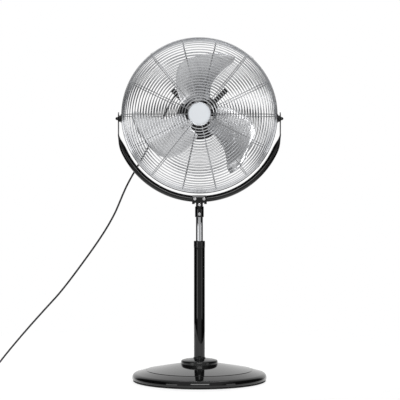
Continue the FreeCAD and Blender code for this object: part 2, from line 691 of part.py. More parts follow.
def side_rings(side, first):
    """Rings spaced evenly round the shoulder between the face and the side."""
    bend = size(f"{side}_round")
    toward_rim = 1 if side == "front" else -1
    middle_depth = size(f"{side}_face") + toward_rim * bend
    rings = []
    step = SIZES["ring_pitch"] / bend.value
    count = first
    while count * step < math.pi / 2:
        reach = math.sin(count * step)
        lift = math.cos(count * step)
        radius = size("side_radius") - bend + bend * reach
        depth = middle_depth - toward_rim * bend * lift
        rings.append(ring(radius, size("wire"), (0, depth, size("head_height")), "Y"))
        count += 1
    if side == "front":
        place_back = (0, middle_depth + size("side_step"), size("head_height"))
        rings.append(ring(size("side_radius"), size("wire"), place_back, "Y"))
    return rings


def ribs(side, inner, end_depth):
    """The ribs run inside the rings, from the middle over the shoulder to the rim."""
    inset = SIZES["wire"] + SIZES["rib_wire"] + SIZES["weld_gap"]
    toward_rim = 1 if side == "front" else -1
    bend = SIZES[f"{side}_round"] - inset
    face = SIZES[f"{side}_face"] + toward_rim * inset
    turn_centre = SIZES["side_radius"] - SIZES[f"{side}_round"]
    shoulder = []
    for turn in (0, math.pi / 4, math.pi / 2):
        depth = face + toward_rim * bend * (1 - math.cos(turn))
        shoulder.append(head_point(turn_centre + bend * math.sin(turn), 0, depth))
    start = head_point(inner, 0, face)
    end = head_point(SIZES["side_radius"] - inset, 0, end_depth)
    path = Part.Wire([
        Part.LineSegment(start, shoulder[0]).toShape(),
        Part.Arc(*shoulder).toShape(),
        Part.LineSegment(shoulder[2], end).toShape(),
    ])
    mouth = Part.Wire(Part.makeCircle(SIZES["rib_wire"], start, X_AXIS))
    rib = path.makePipeShell([mouth], True, False)
    return Part.makeCompound([seen_angle(rib, 360 * count / RIB_COUNT) for count in range(RIB_COUNT)])


def rim_clips():
    """Sprung straps that hold the two rim rings together."""
    gap = SIZES["clip_gap"]
    thick = SIZES["clip_thick"]
    wide = SIZES["clip_wide"]
    leg = SIZES["clip_leg"]
    left = SIZES["rim_outer"] + gap - leg
    front = SIZES["rim_front"] - SIZES["rim_wire"] - gap
    deep = SIZES["rim_back"] + SIZES["rim_wire"] + gap - front
    up = SIZES["head_height"] - wide / 2
    strap = Part.makeBox(leg + thick, deep + thick * 2, wide, FreeCAD.Vector(left, front - thick, up))
    clip = strap.cut(Part.makeBox(leg, deep, wide, FreeCAD.Vector(left, front, up)))
    clips = [seen_angle(clip, angle) for angle in CLIP_ANGLES]
    node("rim_clips", shaped("RimClips", Part.makeCompound(clips)))


def badge():
    """A plain disc in a bevelled ring on the front guard, and the plate behind the ribs that holds it."""
    disc = size("badge_disc")
    back = size("badge_back")
    face = back - size("badge_thick")
    outline = [(0, back), (0, face), (disc - 1.5, face), (disc, face + 1.5), (disc, back)]
    node("badge", turned("BadgeBody", outline, (0, 0, size("head_height")), "Y"))
    outer = size("badge_radius")
    rim = back - size("badge_ring_thick")
    inner = disc + 0.1
    outline = [(inner, back), (inner, rim), (inner + 1.1, rim - 0.6), (outer, rim + 2.2), (outer, back)]
    node("badge_ring", turned("BadgeRingBody", outline, (0, 0, size("head_height")), "Y"))
    at = (0, size("plate_front"), size("head_height"))
    node("guard_hub_plate", rod(size("plate_radius"), size("plate_thick"), at, "Y"))


def motor_shells():
    """Front and rear cups of the motor with their bearing seats and the bosses for the through bolts."""
    up = size("head_height")
    wide = size("motor_radius")
    wall = size("motor_wall")
    face = size("motor_front")
    seat = size("bearing_radius") + 0.03
    nose = size("nose_radius")
    rim = size("bracket_front")
    outline = [
        (size("shaft_hole"), size("nose_front")),
        (nose, size("nose_front")),
        (nose, face),
        (wide - size("nose_round"), face),
        (wide, face + size("nose_round"), -size("nose_round")),
        (wide, rim),
        (wide - wall, rim),
        (wide - wall, face + 12),
        (wide - 12, face + wall),
        (nose, face + wall),
        (seat, face + wall),
        (seat, size("nose_front") + wall),
        (size("shaft_hole"), size("nose_front") + wall),
    ]
    front = turned("MotorFrontBody", outline, (0, 0, up), "Y")
    bosses = at_bosses(size("boss_radius"), face + 1, size("stator_front"))
    bore = size("through_bolt") + size("close_gap")
    holes = at_bosses(bore, size("bolt_start") - 2, size("stator_front") + 2)
    node("motor_front_shell", minus(union(front, *bosses), *holes))
    back = size("motor_back")
    near = size("bracket_front") + size("bracket_thick")
    outline = [
        (wide - wall, near),
        (wide, near),
        (wide, back - size("motor_round")),
        (wide - size("motor_round"), back, -size("motor_round")),
        (0, back),
        (0, back - wall),
        (seat, back - wall),
        (seat, back - wall - size("bearing_wide") - 1),
        (nose, back - wall - size("bearing_wide") - 1),
        (nose, back - wall),
        (wide - 12, back - wall),
        (wide - wall, back - 12),
    ]
    rear = turned("MotorRearBody", outline, (0, 0, up), "Y")
    stator_back = size("stator_front") + size("stator_long")
    bosses = at_bosses(size("boss_radius"), stator_back, back - 1)
    holes = at_bosses(bore, stator_back - 2, back + 2)
    gland = Part.makeCylinder(SIZES["gland_radius"], SIZES["gland_long"], GLAND_START, GLAND_AIM)
    node("motor_rear_shell", minus(union(rear, *bosses), *holes, shaped("GlandSpace", gland)))
    shanks = at_bosses(size("through_bolt"), size("bolt_start"), back)
    caps = at_bosses(size("bolt_cap"), back, back + size("bolt_cap_high"))
    node("motor_bolts", together(*[union(shank, cap) for shank, cap in zip(shanks, caps)]))


def at_bosses(radius, near, far):
    """A rod at each of the four places where a bolt runs through the motor."""
    return [rod(radius, far - near, (x, near, z), "Y") for x, z in boss_places()]


def boss_places():
    up = size("head_height")
    pitch = size("boss_pitch")
    return ((pitch, up), (-pitch, up), (0, up + pitch), (0, up - pitch))


def motor_bracket():
    """The flat cross that the motor hangs in, gripped between its shells and welded to the rear rings."""
    up = size("head_height")
    near = size("bracket_front")
    thick = size("bracket_thick")
    plate = rod(size("bracket_ring"), thick, (0, near, up), "Y")
    arms = []
    for angle in (45, 135):
        arm = doc.addObject("Part::Box", "Arm")
        bind(arm, "Length", size("arm_reach") * 2)
        bind(arm, "Width", thick)
        bind(arm, "Height", size("arm_wide"))
        turn = FreeCAD.Rotation(Y_AXIS, -angle)
        corner = FreeCAD.Vector(-SIZES["arm_reach"], 0, -SIZES["arm_wide"] / 2)
        arm.Placement = FreeCAD.Placement(vector(0, near, up) + turn.multVec(corner), turn)
        arms.append(arm)
    hole = rod(size("bracket_hole"), thick + 4, (0, near - 2, up), "Y")
    node("motor_bracket", minus(union(plate, *arms), hole))


def motor_inside():
    """Stator, windings, bearings, and in the rear cover the switch and the run capacitor."""
    up = size("head_height")
    front = size("stator_front")
    core = tube(size("stator_radius"), size("stator_bore"), size("stator_long"), (0, front, up), "Y")
    holes = at_bosses(size("through_bolt") + 0.3, front - 2, front + size("stator_long") + 2)
    node("stator_core", minus(core, *holes))
    long = size("winding_long")
    coils = [tube(size("winding_outer"), size("winding_inner"), long, (0, depth, up), "Y")
             for depth in (front - long, front + size("stator_long"))]
    node("stator_windings", together(*coils))
    wide = size("bearing_wide")
    seats = (size("nose_front") + size("motor_wall"), size("motor_back") - size("motor_wall") - wide)
    bore = size("shaft_radius") + size("running_gap")
    rings = [tube(size("bearing_radius"), bore, wide, (0, depth, up), "Y") for depth in seats]
    node("motor_bearings", together(*rings))
    back = size("motor_back")
    cover = size("control_radius")
    wall = size("control_wall")
    outline = [
        (cover - wall, back),
        (cover, back),
        (cover, size("control_back") - size("control_round")),
        (cover - size("control_round"), size("control_back"), -size("control_round")),
        (size("stem_radius") + 0.1, size("control_back")),
        (size("stem_radius") + 0.1, size("control_back") - wall),
        (cover - 10, size("control_back") - wall),
        (cover - wall, size("control_back") - 10),
    ]
    node("control_cover", turned("ControlCoverBody", outline, (0, 0, up), "Y"))
    start = back + size("switch_gap")
    switch_long = size("control_back") - wall - start
    bore = size("stem_radius") + size("running_gap")
    node("speed_switch", tube(size("switch_radius"), bore, switch_long, (0, start, up), "Y"))
    thick = size("capacitor_thick")
    at = (0, back + 3 + thick / 2, up + size("capacitor_up"))
    node("run_capacitor", block(size("capacitor_wide"), thick, size("capacitor_high"), at))


def speed_knob():
    """The dial on the back with its grip bar and the stem that turns the switch."""
    up = size("head_height")
    near = size("control_back") + size("dial_gap")
    dial = rod(size("dial_radius"), size("dial_thick"), (0, near, up), "Y")
    high = size("dial_radius") * 1.8
    middle = near + size("dial_thick") + size("grip_high") / 4
    grip = block(size("grip_wide"), size("grip_high"), high, (0, middle, up - high / 2))
    start = size("motor_back") + size("switch_gap") + 1
    stem = rod(size("stem_radius"), near + 1 - start, (0, start, up), "Y")
    node("speed_knob", union(dial, grip, stem))


def blade_depth(radius, angle, share):
    """A blade's depth: pitched more per degree towards the tip, and hollow on its front face."""
    along = (radius - 60) / 165
    middle = 2 - 28 * along
    pitch = 0.6 + 0.5 * along
    hollow = SIZES["blade_hollow"] * (1 - share * share)
    return SIZES["blade_middle"] + pitch * (angle - middle) + hollow


def vane(outline, root_angle, shift):
    """A twisted sheet between two surfaces through points at constant radius, closed along its edges."""
    steps = 8
    sheets = []
    for lift in (0, SIZES["blade_thick"]):
        rows = []
        for radius, trailing, leading in outline:
            row = []
            for step in range(steps + 1):
                share = 2 * step / steps - 1
                angle = trailing + (leading - trailing) * step / steps
                depth = blade_depth(radius, angle, share if shift == 0 else 0) + shift + lift
                row.append(head_point(radius, root_angle + angle, depth))
            rows.append(row)
        surface = Part.BSplineSurface()
        surface.interpolate(rows)
        sheets.append(surface)
    front, back = sheets
    faces = [front.toShape(), back.toShape()]
    first_u, last_u, first_v, last_v = front.bounds()
    for near, far in ((front.uIso(first_u), back.uIso(first_u)), (front.uIso(last_u), back.uIso(last_u)),
                      (front.vIso(first_v), back.vIso(first_v)), (front.vIso(last_v), back.vIso(last_v))):
        faces.append(Part.makeRuledSurface(near.toShape(), far.toShape()))
    shell = Part.makeShell(faces)
    shell.sewShape()
    solid = Part.Solid(shell)
    if solid.Volume < 0:
        solid.reverse()
    return solid


def rotor():
    """Shaft and core, the hub with three twisted arms, and a blade riveted to each arm."""
    up = size("head_height")
    middle = vector(0, 0, up)
    core_start = size("stator_front")
    shaft_long = size("shaft_back") - size("shaft_front")
    node("motor_shaft", rod(size("shaft_radius"), shaft_long, (0, size("shaft_front"), up), "Y"))
    bore = size("shaft_radius") + 0.02
    core = tube(size("rotor_radius"), bore, size("stator_long"), (0, core_start, up), "Y")
    node("rotor_core", core)
    hub = Part.makeCylinder(SIZES["hub_radius"], SIZES["hub_back"] - SIZES["hub_front"],
                            middle + Y_AXIS * SIZES["hub_front"], Y_AXIS)
    arm_shift = SIZES["blade_thick"] + SIZES["blade_hollow"]
    arms = [vane(ARM_OUTLINE, angle, arm_shift) for angle in BLADE_ANGLES.values()]
    bore = Part.makeCylinder(SIZES["shaft_radius"] + 0.02, 120, middle + Y_AXIS * -80, Y_AXIS)
    rivets, shanks = [], []
    for angle in BLADE_ANGLES.values():
        for radius, offset in RIVET_PLACES:
            front = blade_depth(radius, offset, 0)
            total = arm_shift + SIZES["blade_thick"]
            slope = math.radians(SIZES["blade_slope"])
            turn = math.radians(angle + offset)
            along = FreeCAD.Vector(-math.sin(turn), 0, math.cos(turn))
            normal = Y_AXIS * math.cos(slope) - along * math.sin(slope)
            at = head_point(radius, angle + offset, front)
            shank = Part.makeCylinder(SIZES["rivet_radius"], total * 0.9 + 3, at - normal * 1.5, normal)
            shanks.append(shank)
            heads = [Part.makeCylinder(SIZES["rivet_head"], 1.6, at - normal * 2.2, normal)]
            rivets.append(shank.fuse(heads))
    spider = hub.fuse(arms).cut([bore] + shanks)
    node("hub_spider", shaped("HubSpider", spider.cut(rivets)))
    for label, angle in BLADE_ANGLES.items():
        node(label, shaped(label, vane(BLADE_OUTLINE, angle, 0).cut(rivets)))
    node("blade_rivets", shaped("BladeRivets", Part.makeCompound(rivets)))


def cord():
    """The gland and its boot, the cord's stretches, the coil, its tie and the plug."""
    base = Part.makeCylinder(SIZES["gland_radius"], SIZES["gland_long"], GLAND_START, GLAND_AIM)
    boot = Part.makeCone(SIZES["boot_root"], SIZES["boot_tip"], SIZES["boot_long"],
                         GLAND_START + GLAND_AIM * SIZES["gland_long"], GLAND_AIM)
    node("cord_gland", shaped("CordGland", base.fuse(boot)))
    radius = SIZES["cord_radius"]
    for label, points in (("cord_upper", CORD_UPPER), ("cord_middle", CORD_MIDDLE),
                          ("cord_lower", CORD_LOWER), ("cord_tail", CORD_TAIL)):
        node(label, shaped(label, pipe(points, radius)))
    coil(radius)
    plug()


def coil(radius):
    """The wound length of the cord as one ring, and the strap round its +X side."""
    slack = SIZES["coil_slack"]
    outer = SIZES["coil_turn"] + radius + slack
    inner = SIZES["coil_turn"] - radius - slack
    high = radius * 2 * (SIZES["coil_turns"] + 1)
    wound = Part.makeCylinder(outer, high, COIL_CENTRE).cut(Part.makeCylinder(inner, high, COIL_CENTRE))
    node("cord_coil", shaped("CordCoil", wound))
    wide = SIZES["tie_wide"]
    thick = SIZES["tie_thick"]
    near = COIL_CENTRE + FreeCAD.Vector(inner - thick, -wide / 2, 0)
    band = Part.makeBox(outer - inner + thick * 2, wide, high + thick, near)
    node("coil_tie", shaped("CoilTie", band.cut(wound)))


def plug():
    """A moulded plug lying on the floor, its two blades and round pin pointing towards -Y."""
    wide = SIZES["plug_wide"]
    high = SIZES["plug_high"]
    back = SIZES["plug_boot"] - 1
    reach = back + SIZES["plug_long"]
    boot = Part.makeCone(SIZES["boot_tip"], SIZES["plug_boot_wide"], SIZES["plug_boot"], PLUG_BACK, -Y_AXIS)
    corner = PLUG_BACK - FreeCAD.Vector(wide / 2, reach, high / 2)
    body = Part.makeBox(wide, SIZES["plug_long"], high, corner)
    edges = [edge for edge in body.Edges if abs(edge.tangentAt(edge.FirstParameter).y) > 0.9]
    node("plug_body", shaped("PlugBody", boot.fuse(body.makeFillet(SIZES["plug_round"], edges))))
    tip = PLUG_BACK - Y_AXIS * reach
    thick = SIZES["pin_thick"]
    pins = [Part.makeBox(thick, SIZES["pin_long"], SIZES["pin_high"],
                         tip + FreeCAD.Vector(across - thick / 2, -SIZES["pin_long"], -1))
            for across in (-SIZES["pin_out"], SIZES["pin_out"])]
    pins.append(Part.makeCylinder(SIZES["earth_pin"], SIZES["earth_long"], tip - Z_AXIS * 5, -Y_AXIS))
    node("plug_pins", shaped("PlugPins", Part.makeCompound(pins)))


base_shell()
base_inside()
base_cover()
pole_foot()
height_collar()
inner_pole()
neck_socket()
saddle("saddle_front", -1)
saddle("saddle_rear", 1)
neck_bolts()
yoke()
pivots()
guard_wires()
rim_clips()
badge()
motor_shells()
motor_bracket()
motor_inside()
speed_knob()
rotor()
cord()
doc.recompute()

failed = [item.Name for item in doc.Objects if "Invalid" in item.State or "Error" in item.State]
if failed:
    raise RuntimeError("failed objects: " + ", ".join(failed))
os.makedirs("parts", exist_ok=True)
for item in nodes:
    if item.Shape.isNull() or not item.Shape.isValid() or item.Shape.Volume <= 0:
        raise RuntimeError("bad shape: " + item.Label)
    item.Shape.exportStep(f"parts/{item.Label}.step")
print(len(nodes), "sub-parts written")
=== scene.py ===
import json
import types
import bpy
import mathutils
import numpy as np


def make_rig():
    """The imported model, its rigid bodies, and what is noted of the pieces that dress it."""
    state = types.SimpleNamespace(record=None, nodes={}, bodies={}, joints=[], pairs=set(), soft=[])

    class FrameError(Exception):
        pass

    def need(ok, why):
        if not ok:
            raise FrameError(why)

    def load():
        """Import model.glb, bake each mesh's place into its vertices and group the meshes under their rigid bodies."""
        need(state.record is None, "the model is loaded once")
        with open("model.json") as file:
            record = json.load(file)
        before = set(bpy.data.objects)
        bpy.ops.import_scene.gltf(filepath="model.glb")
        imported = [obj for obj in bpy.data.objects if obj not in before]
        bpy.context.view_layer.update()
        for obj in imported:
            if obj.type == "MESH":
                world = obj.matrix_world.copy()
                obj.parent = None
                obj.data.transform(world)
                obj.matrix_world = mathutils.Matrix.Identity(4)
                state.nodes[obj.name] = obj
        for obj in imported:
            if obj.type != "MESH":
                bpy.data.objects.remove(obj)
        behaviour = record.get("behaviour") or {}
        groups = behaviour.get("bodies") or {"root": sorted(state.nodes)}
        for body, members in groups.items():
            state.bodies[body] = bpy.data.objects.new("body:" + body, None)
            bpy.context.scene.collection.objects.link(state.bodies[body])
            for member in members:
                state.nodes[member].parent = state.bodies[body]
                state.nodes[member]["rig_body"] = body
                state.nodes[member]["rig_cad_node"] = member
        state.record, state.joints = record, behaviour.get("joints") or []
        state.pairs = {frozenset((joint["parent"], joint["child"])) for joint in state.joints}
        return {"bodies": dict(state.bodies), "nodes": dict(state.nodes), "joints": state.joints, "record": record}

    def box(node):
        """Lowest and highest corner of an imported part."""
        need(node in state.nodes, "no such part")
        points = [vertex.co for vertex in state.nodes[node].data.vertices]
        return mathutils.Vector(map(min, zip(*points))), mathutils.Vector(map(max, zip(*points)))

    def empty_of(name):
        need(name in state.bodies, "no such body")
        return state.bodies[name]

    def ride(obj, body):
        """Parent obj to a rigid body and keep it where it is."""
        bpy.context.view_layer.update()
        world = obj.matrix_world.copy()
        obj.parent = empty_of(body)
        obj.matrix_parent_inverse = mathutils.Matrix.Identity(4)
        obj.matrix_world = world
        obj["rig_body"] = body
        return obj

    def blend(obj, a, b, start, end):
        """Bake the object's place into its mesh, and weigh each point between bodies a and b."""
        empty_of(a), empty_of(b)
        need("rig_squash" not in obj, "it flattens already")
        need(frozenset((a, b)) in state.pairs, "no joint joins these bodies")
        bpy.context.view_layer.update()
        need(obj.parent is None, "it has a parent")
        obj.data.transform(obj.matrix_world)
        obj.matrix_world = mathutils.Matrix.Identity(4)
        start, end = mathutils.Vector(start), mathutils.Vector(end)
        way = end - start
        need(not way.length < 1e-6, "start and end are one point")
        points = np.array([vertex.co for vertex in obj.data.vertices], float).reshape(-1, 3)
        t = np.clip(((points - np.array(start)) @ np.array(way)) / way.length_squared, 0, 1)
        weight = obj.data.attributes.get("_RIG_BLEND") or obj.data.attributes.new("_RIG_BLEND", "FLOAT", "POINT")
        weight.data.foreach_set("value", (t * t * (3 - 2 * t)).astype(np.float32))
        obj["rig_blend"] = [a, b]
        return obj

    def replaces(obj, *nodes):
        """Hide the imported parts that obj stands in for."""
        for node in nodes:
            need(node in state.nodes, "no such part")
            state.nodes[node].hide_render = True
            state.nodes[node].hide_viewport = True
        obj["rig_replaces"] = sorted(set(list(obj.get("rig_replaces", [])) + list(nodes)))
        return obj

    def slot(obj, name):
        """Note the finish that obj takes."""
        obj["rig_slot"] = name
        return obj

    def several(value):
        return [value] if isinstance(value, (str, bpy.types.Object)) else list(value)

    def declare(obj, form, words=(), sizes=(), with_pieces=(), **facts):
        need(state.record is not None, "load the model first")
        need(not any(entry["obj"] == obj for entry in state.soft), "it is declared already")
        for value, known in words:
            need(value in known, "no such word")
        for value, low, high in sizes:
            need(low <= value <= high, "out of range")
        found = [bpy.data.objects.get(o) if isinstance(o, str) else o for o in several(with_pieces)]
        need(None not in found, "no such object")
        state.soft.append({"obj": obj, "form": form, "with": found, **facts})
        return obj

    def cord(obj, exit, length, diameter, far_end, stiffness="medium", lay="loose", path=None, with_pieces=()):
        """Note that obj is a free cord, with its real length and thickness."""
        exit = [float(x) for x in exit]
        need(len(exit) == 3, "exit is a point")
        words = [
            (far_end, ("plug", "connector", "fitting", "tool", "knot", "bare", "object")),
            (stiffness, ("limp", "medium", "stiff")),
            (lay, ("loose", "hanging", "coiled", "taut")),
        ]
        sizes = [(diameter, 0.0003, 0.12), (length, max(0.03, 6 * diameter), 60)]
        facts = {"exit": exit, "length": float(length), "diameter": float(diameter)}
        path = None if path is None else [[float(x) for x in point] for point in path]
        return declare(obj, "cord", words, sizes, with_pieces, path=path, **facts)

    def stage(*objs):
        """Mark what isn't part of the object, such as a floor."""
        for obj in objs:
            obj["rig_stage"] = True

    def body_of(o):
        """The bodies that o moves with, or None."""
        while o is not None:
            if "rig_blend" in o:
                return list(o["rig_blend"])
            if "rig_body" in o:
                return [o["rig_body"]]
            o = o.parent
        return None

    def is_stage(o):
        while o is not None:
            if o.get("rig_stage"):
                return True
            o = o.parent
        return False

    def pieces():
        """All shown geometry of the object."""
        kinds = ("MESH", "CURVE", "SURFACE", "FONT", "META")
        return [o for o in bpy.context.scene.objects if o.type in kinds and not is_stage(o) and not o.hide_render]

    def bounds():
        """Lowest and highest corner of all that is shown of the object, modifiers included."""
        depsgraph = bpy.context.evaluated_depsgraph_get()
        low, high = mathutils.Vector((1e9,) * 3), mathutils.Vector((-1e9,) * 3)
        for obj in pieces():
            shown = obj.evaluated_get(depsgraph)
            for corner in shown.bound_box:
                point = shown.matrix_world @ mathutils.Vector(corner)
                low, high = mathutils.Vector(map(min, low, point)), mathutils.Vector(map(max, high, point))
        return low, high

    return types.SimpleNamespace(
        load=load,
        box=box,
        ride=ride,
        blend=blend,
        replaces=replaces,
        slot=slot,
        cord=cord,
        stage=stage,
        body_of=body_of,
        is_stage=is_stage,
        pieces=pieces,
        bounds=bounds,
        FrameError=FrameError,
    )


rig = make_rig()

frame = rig.load()

import json
from math import copysign, cos, pi, radians, sin, sqrt

import bmesh
import bpy
from mathutils import Matrix, Vector

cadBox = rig.bounds()
print("frame loaded:", len(frame["nodes"]), "nodes")

turnToY = Matrix.Rotation(-pi / 2, 4, "X")  # a lathe's height becomes depth, away from the front
turnFront = Matrix.Rotation(pi / 2, 4, "X")  # the same, towards the front


def middleOf(node):
    low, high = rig.box(node)
    return (low + high) / 2


def moved(x, y, z):
    return Matrix.Translation((x, y, z))


headAxis = Vector((0, 0, middleOf("badge_ring").z))  # a point on the fan's own axis, at the depth of the pivots


def inMetres(rows):
    # Outlines and lines are written in millimetres
    return [tuple(value / 1000 for value in row) for row in rows]


def stoodAt(place, out):
    # Stands a lathe's shape at a place, pointing out
    return Matrix.Translation(place) @ out.to_track_quat("Z", "Y").to_matrix().to_4x4()


def joined(*shapes):
    points = []
    faces = []
    for shapePoints, shapeFaces in shapes:
        first = len(points)
        points += list(shapePoints)
        faces += [tuple(first + index for index in face) for face in shapeFaces]
    return points, faces


def placed(shape, *matrices):
    whole = Matrix.Identity(4)
    for matrix in matrices:
        whole = matrix @ whole
    return [whole @ Vector(point) for point in shape[0]], shape[1]


def onAxis(shape, depth=0, turn=turnToY):
    # A lathe's shape laid along the fan's axis
    return placed(shape, turn, moved(0, depth, headAxis.z))


def softened(corners, closed=True, pieces=5):
    # Rounds the corners that carry a third number, the length cut from each side
    soft = []
    last = len(corners) - 1
    for index, corner in enumerate(corners):
        place = Vector(corner[:2])
        if len(corner) < 3 or (not closed and index in (0, last)):
            soft.append(place)
            continue
        before = Vector(corners[index - 1][:2])
        after = Vector(corners[(index + 1) % len(corners)][:2])
        reach = min(corner[2], (before - place).length * 0.48, (after - place).length * 0.48)
        start = place + (before - place).normalized() * reach
        end = place + (after - place).normalized() * reach
        for step in range(pieces + 1):
            share = step / pieces
            soft.append(start * (1 - share) ** 2 + place * 2 * share * (1 - share) + end * share ** 2)
    return soft


def latheShape(outline, steps=96, bend=None):
    # Turns (radius, height) points about Z; bend(radius, angle, height) can vary the radius round the turn
    points = []
    rings = []
    for radius, height in outline:
        if radius < 1e-7:
            rings.append([len(points)] * steps)
            points.append(Vector((0, 0, height)))
            continue
        rings.append(list(range(len(points), len(points) + steps)))
        for step in range(steps):
            angle = 2 * pi * step / steps
            reach = bend(radius, angle, height) if bend else radius
            points.append(Vector((reach * cos(angle), reach * sin(angle), height)))
    faces = []
    count = len(rings)
    openEnds = outline[0][0] < 1e-7 and outline[-1][0] < 1e-7
    for index in range(count - 1 if openEnds else count):
        near = rings[index]
        far = rings[(index + 1) % count]
        for step in range(steps):
            after = (step + 1) % steps
            corners = [near[step], near[after], far[after], far[step]]
            face = tuple(dict.fromkeys(corners))
            if len(face) > 2:
                faces.append(face)
    return points, faces


def turned(corners, steps, closed=True, pieces=4, bend=None):
    return latheShape(softened(corners, closed, pieces), steps, bend)


def circlePlaces(radius, sides):
    turns = [2 * pi * side / sides for side in range(sides)]
    return [(radius * cos(turn), radius * sin(turn)) for turn in turns]


def ringShape(radius, wire, steps=180, sides=8):
    # A ring of round wire about Z
    return latheShape([(radius + x, y) for x, y in circlePlaces(wire, sides)], steps)


def loftShape(rings, closed=False):
    # A skin over rings of equally many points, capped at both ends unless closed
    sides = len(rings[0])
    count = len(rings)
    points = [point for ring in rings for point in ring]
    faces = []
    for index in range(count if closed else count - 1):
        near = index * sides
        far = (index + 1) % count * sides
        for side in range(sides):
            after = (side + 1) % sides
            faces.append((near + side, near + after, far + after, far + side))
    if not closed:
        faces.append(tuple(reversed(range(sides))))
        faces.append(tuple(range((count - 1) * sides, count * sides)))
    return points, faces


def sweptShape(line, section, upward=Vector((0, 1, 0)), closed=False):
    # Carries a section of (across, up) offsets along a line. Up stays nearest to upward
    rings = []
    count = len(line)
    across = None
    for index, place in enumerate(line):
        before = line[(index - 1) % count] if closed or index else line[0]
        after = line[(index + 1) % count] if closed or index < count - 1 else line[-1]
        forward = (after - before).normalized()
        if upward is None:  # carried along without twist
            if across is None:
                across = forward.orthogonal().normalized()
            across = (across - forward * across.dot(forward)).normalized()
        else:
            across = upward.cross(forward).normalized()
        up = forward.cross(across)
        rings.append([place + across * x + up * y for x, y in section])
    return loftShape(rings, closed)


def blockShape(low, high, edge=0.001, segments=3):
    # A block between two corners with rounded edges
    made = bmesh.new()
    bmesh.ops.create_cube(made, size=1)
    low = Vector(low)
    high = Vector(high)
    for vert in made.verts:
        vert.co = Vector(low[axis] + (high[axis] - low[axis]) * (vert.co[axis] + 0.5) for axis in range(3))
    bmesh.ops.bevel(made, geom=list(made.edges), offset=edge, segments=segments, profile=0.5, affect="EDGES")
    return fromBmesh(made)


def plateShape(outline, low, high, edge=0.0006):
    # A flat plate: an outline in X and Y, between two heights, with rounded edges
    made = bmesh.new()
    base = [made.verts.new((x, y, low)) for x, y in outline]
    face = made.faces.new(base)
    lifted = bmesh.ops.extrude_face_region(made, geom=[face])
    for item in lifted["geom"]:
        if isinstance(item, bmesh.types.BMVert):
            item.co.z = high
    sharp = [e for e in made.edges if len(e.link_faces) == 2 and e.calc_face_angle(0) > 0.6]
    bmesh.ops.bevel(made, geom=sharp, offset=edge, segments=2, profile=0.5, affect="EDGES")
    return fromBmesh(made)


def fromBmesh(made):
    made.verts.index_update()
    points = [vert.co.copy() for vert in made.verts]
    faces = [tuple(vert.index for vert in face.verts) for face in made.faces]
    made.free()
    return points, faces


def hexagonal(radius, angle):
    # The distance to a hexagon's side, for a hexagon with that corner radius
    sixth = pi / 3
    return radius * cos(sixth / 2) / cos((angle % sixth) - sixth / 2)


def inScene(name, data):
    piece = bpy.data.objects.new(name, data)
    bpy.context.scene.collection.objects.link(piece)
    return piece


def makePiece(name, shape, *nodes, body=None, slot=None, material=None, sharp=35):
    # A piece that stands for CAD nodes, on the body and in the slot of the first unless others are given
    slot = slot or slotOf[nodes[0]]
    mesh = bpy.data.meshes.new(name)
    mesh.from_pydata([tuple(point) for point in shape[0]], [], shape[1])
    made = bmesh.new()
    made.from_mesh(mesh)
    bmesh.ops.remove_doubles(made, verts=made.verts, dist=1e-7)
    bmesh.ops.recalc_face_normals(made, faces=made.faces)
    for face in made.faces:
        face.smooth = True
    for edge in made.edges:
        if len(edge.link_faces) == 2 and edge.calc_face_angle(0) > radians(sharp):
            edge.smooth = False
    made.to_mesh(mesh)
    made.free()
    piece = inScene(name, mesh)
    mesh.materials.append(material or finishes[slot])
    if body != "blended":  # a cord is blended over its bodies later
        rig.ride(piece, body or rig.body_of(frame["nodes"][nodes[0]])[0])
    if nodes:
        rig.replaces(piece, *nodes)
    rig.slot(piece, slot)
    return piece


def setSockets(node, values):
    for label, value in values.items():
        node.inputs[label].default_value = value


def effectGroup(name, inputs, outputs):
    group = bpy.data.node_groups.new(name, "ShaderNodeTree")
    for label, value in inputs.items():
        socket = group.interface.new_socket(name=label, in_out="INPUT", socket_type="NodeSocketFloat")
        socket.default_value = value
    for label in outputs:
        group.interface.new_socket(name=label, in_out="OUTPUT", socket_type="NodeSocketFloat")
    return group, group.nodes.new("NodeGroupInput"), group.nodes.new("NodeGroupOutput")


def feed(tree, socket, value):
    # Links another socket's output, or sets the socket's own value
    if isinstance(value, bpy.types.NodeSocket):
        tree.links.new(value, socket)
    else:
        socket.default_value = value


def mathNode(tree, operation, *values):
    step = tree.nodes.new("ShaderNodeMath")
    step.operation = operation
    for socket, value in zip(step.inputs, values):
        feed(tree, socket, value)
    return step.outputs[0]


def rangeNode(tree, value, fromRange, toRange, smooth=True):
    step = tree.nodes.new("ShaderNodeMapRange")
    step.interpolation_type = "SMOOTHSTEP" if smooth else "LINEAR"
    labels = ("Value", "From Min", "From Max", "To Min", "To Max")
    for label, given in zip(labels, (value, *fromRange, *toRange)):
        feed(tree, step.inputs[label], given)
    return step.outputs["Result"]


def noiseNode(tree, place, scale, detail=4.0, distortion=0.0):
    step = tree.nodes.new("ShaderNodeTexNoise")
    for label, value in (("Vector", place), ("Scale", scale), ("Detail", detail), ("Distortion", distortion)):
        feed(tree, step.inputs[label], value)
    return step.outputs["Fac"]


def stretchedPlace(tree, scales=(1.0, 1.0, 1.0)):
    # Object coordinates, scaled along each axis
    scale = tree.nodes.new("ShaderNodeCombineXYZ")
    for socket, value in zip(scale.inputs, scales):
        feed(tree, socket, value)
    step = tree.nodes.new("ShaderNodeVectorMath")
    step.operation = "MULTIPLY"
    feed(tree, step.inputs[0], tree.nodes.new("ShaderNodeTexCoord").outputs["Object"])
    feed(tree, step.inputs[1], scale.outputs[0])
    return step.outputs[0]


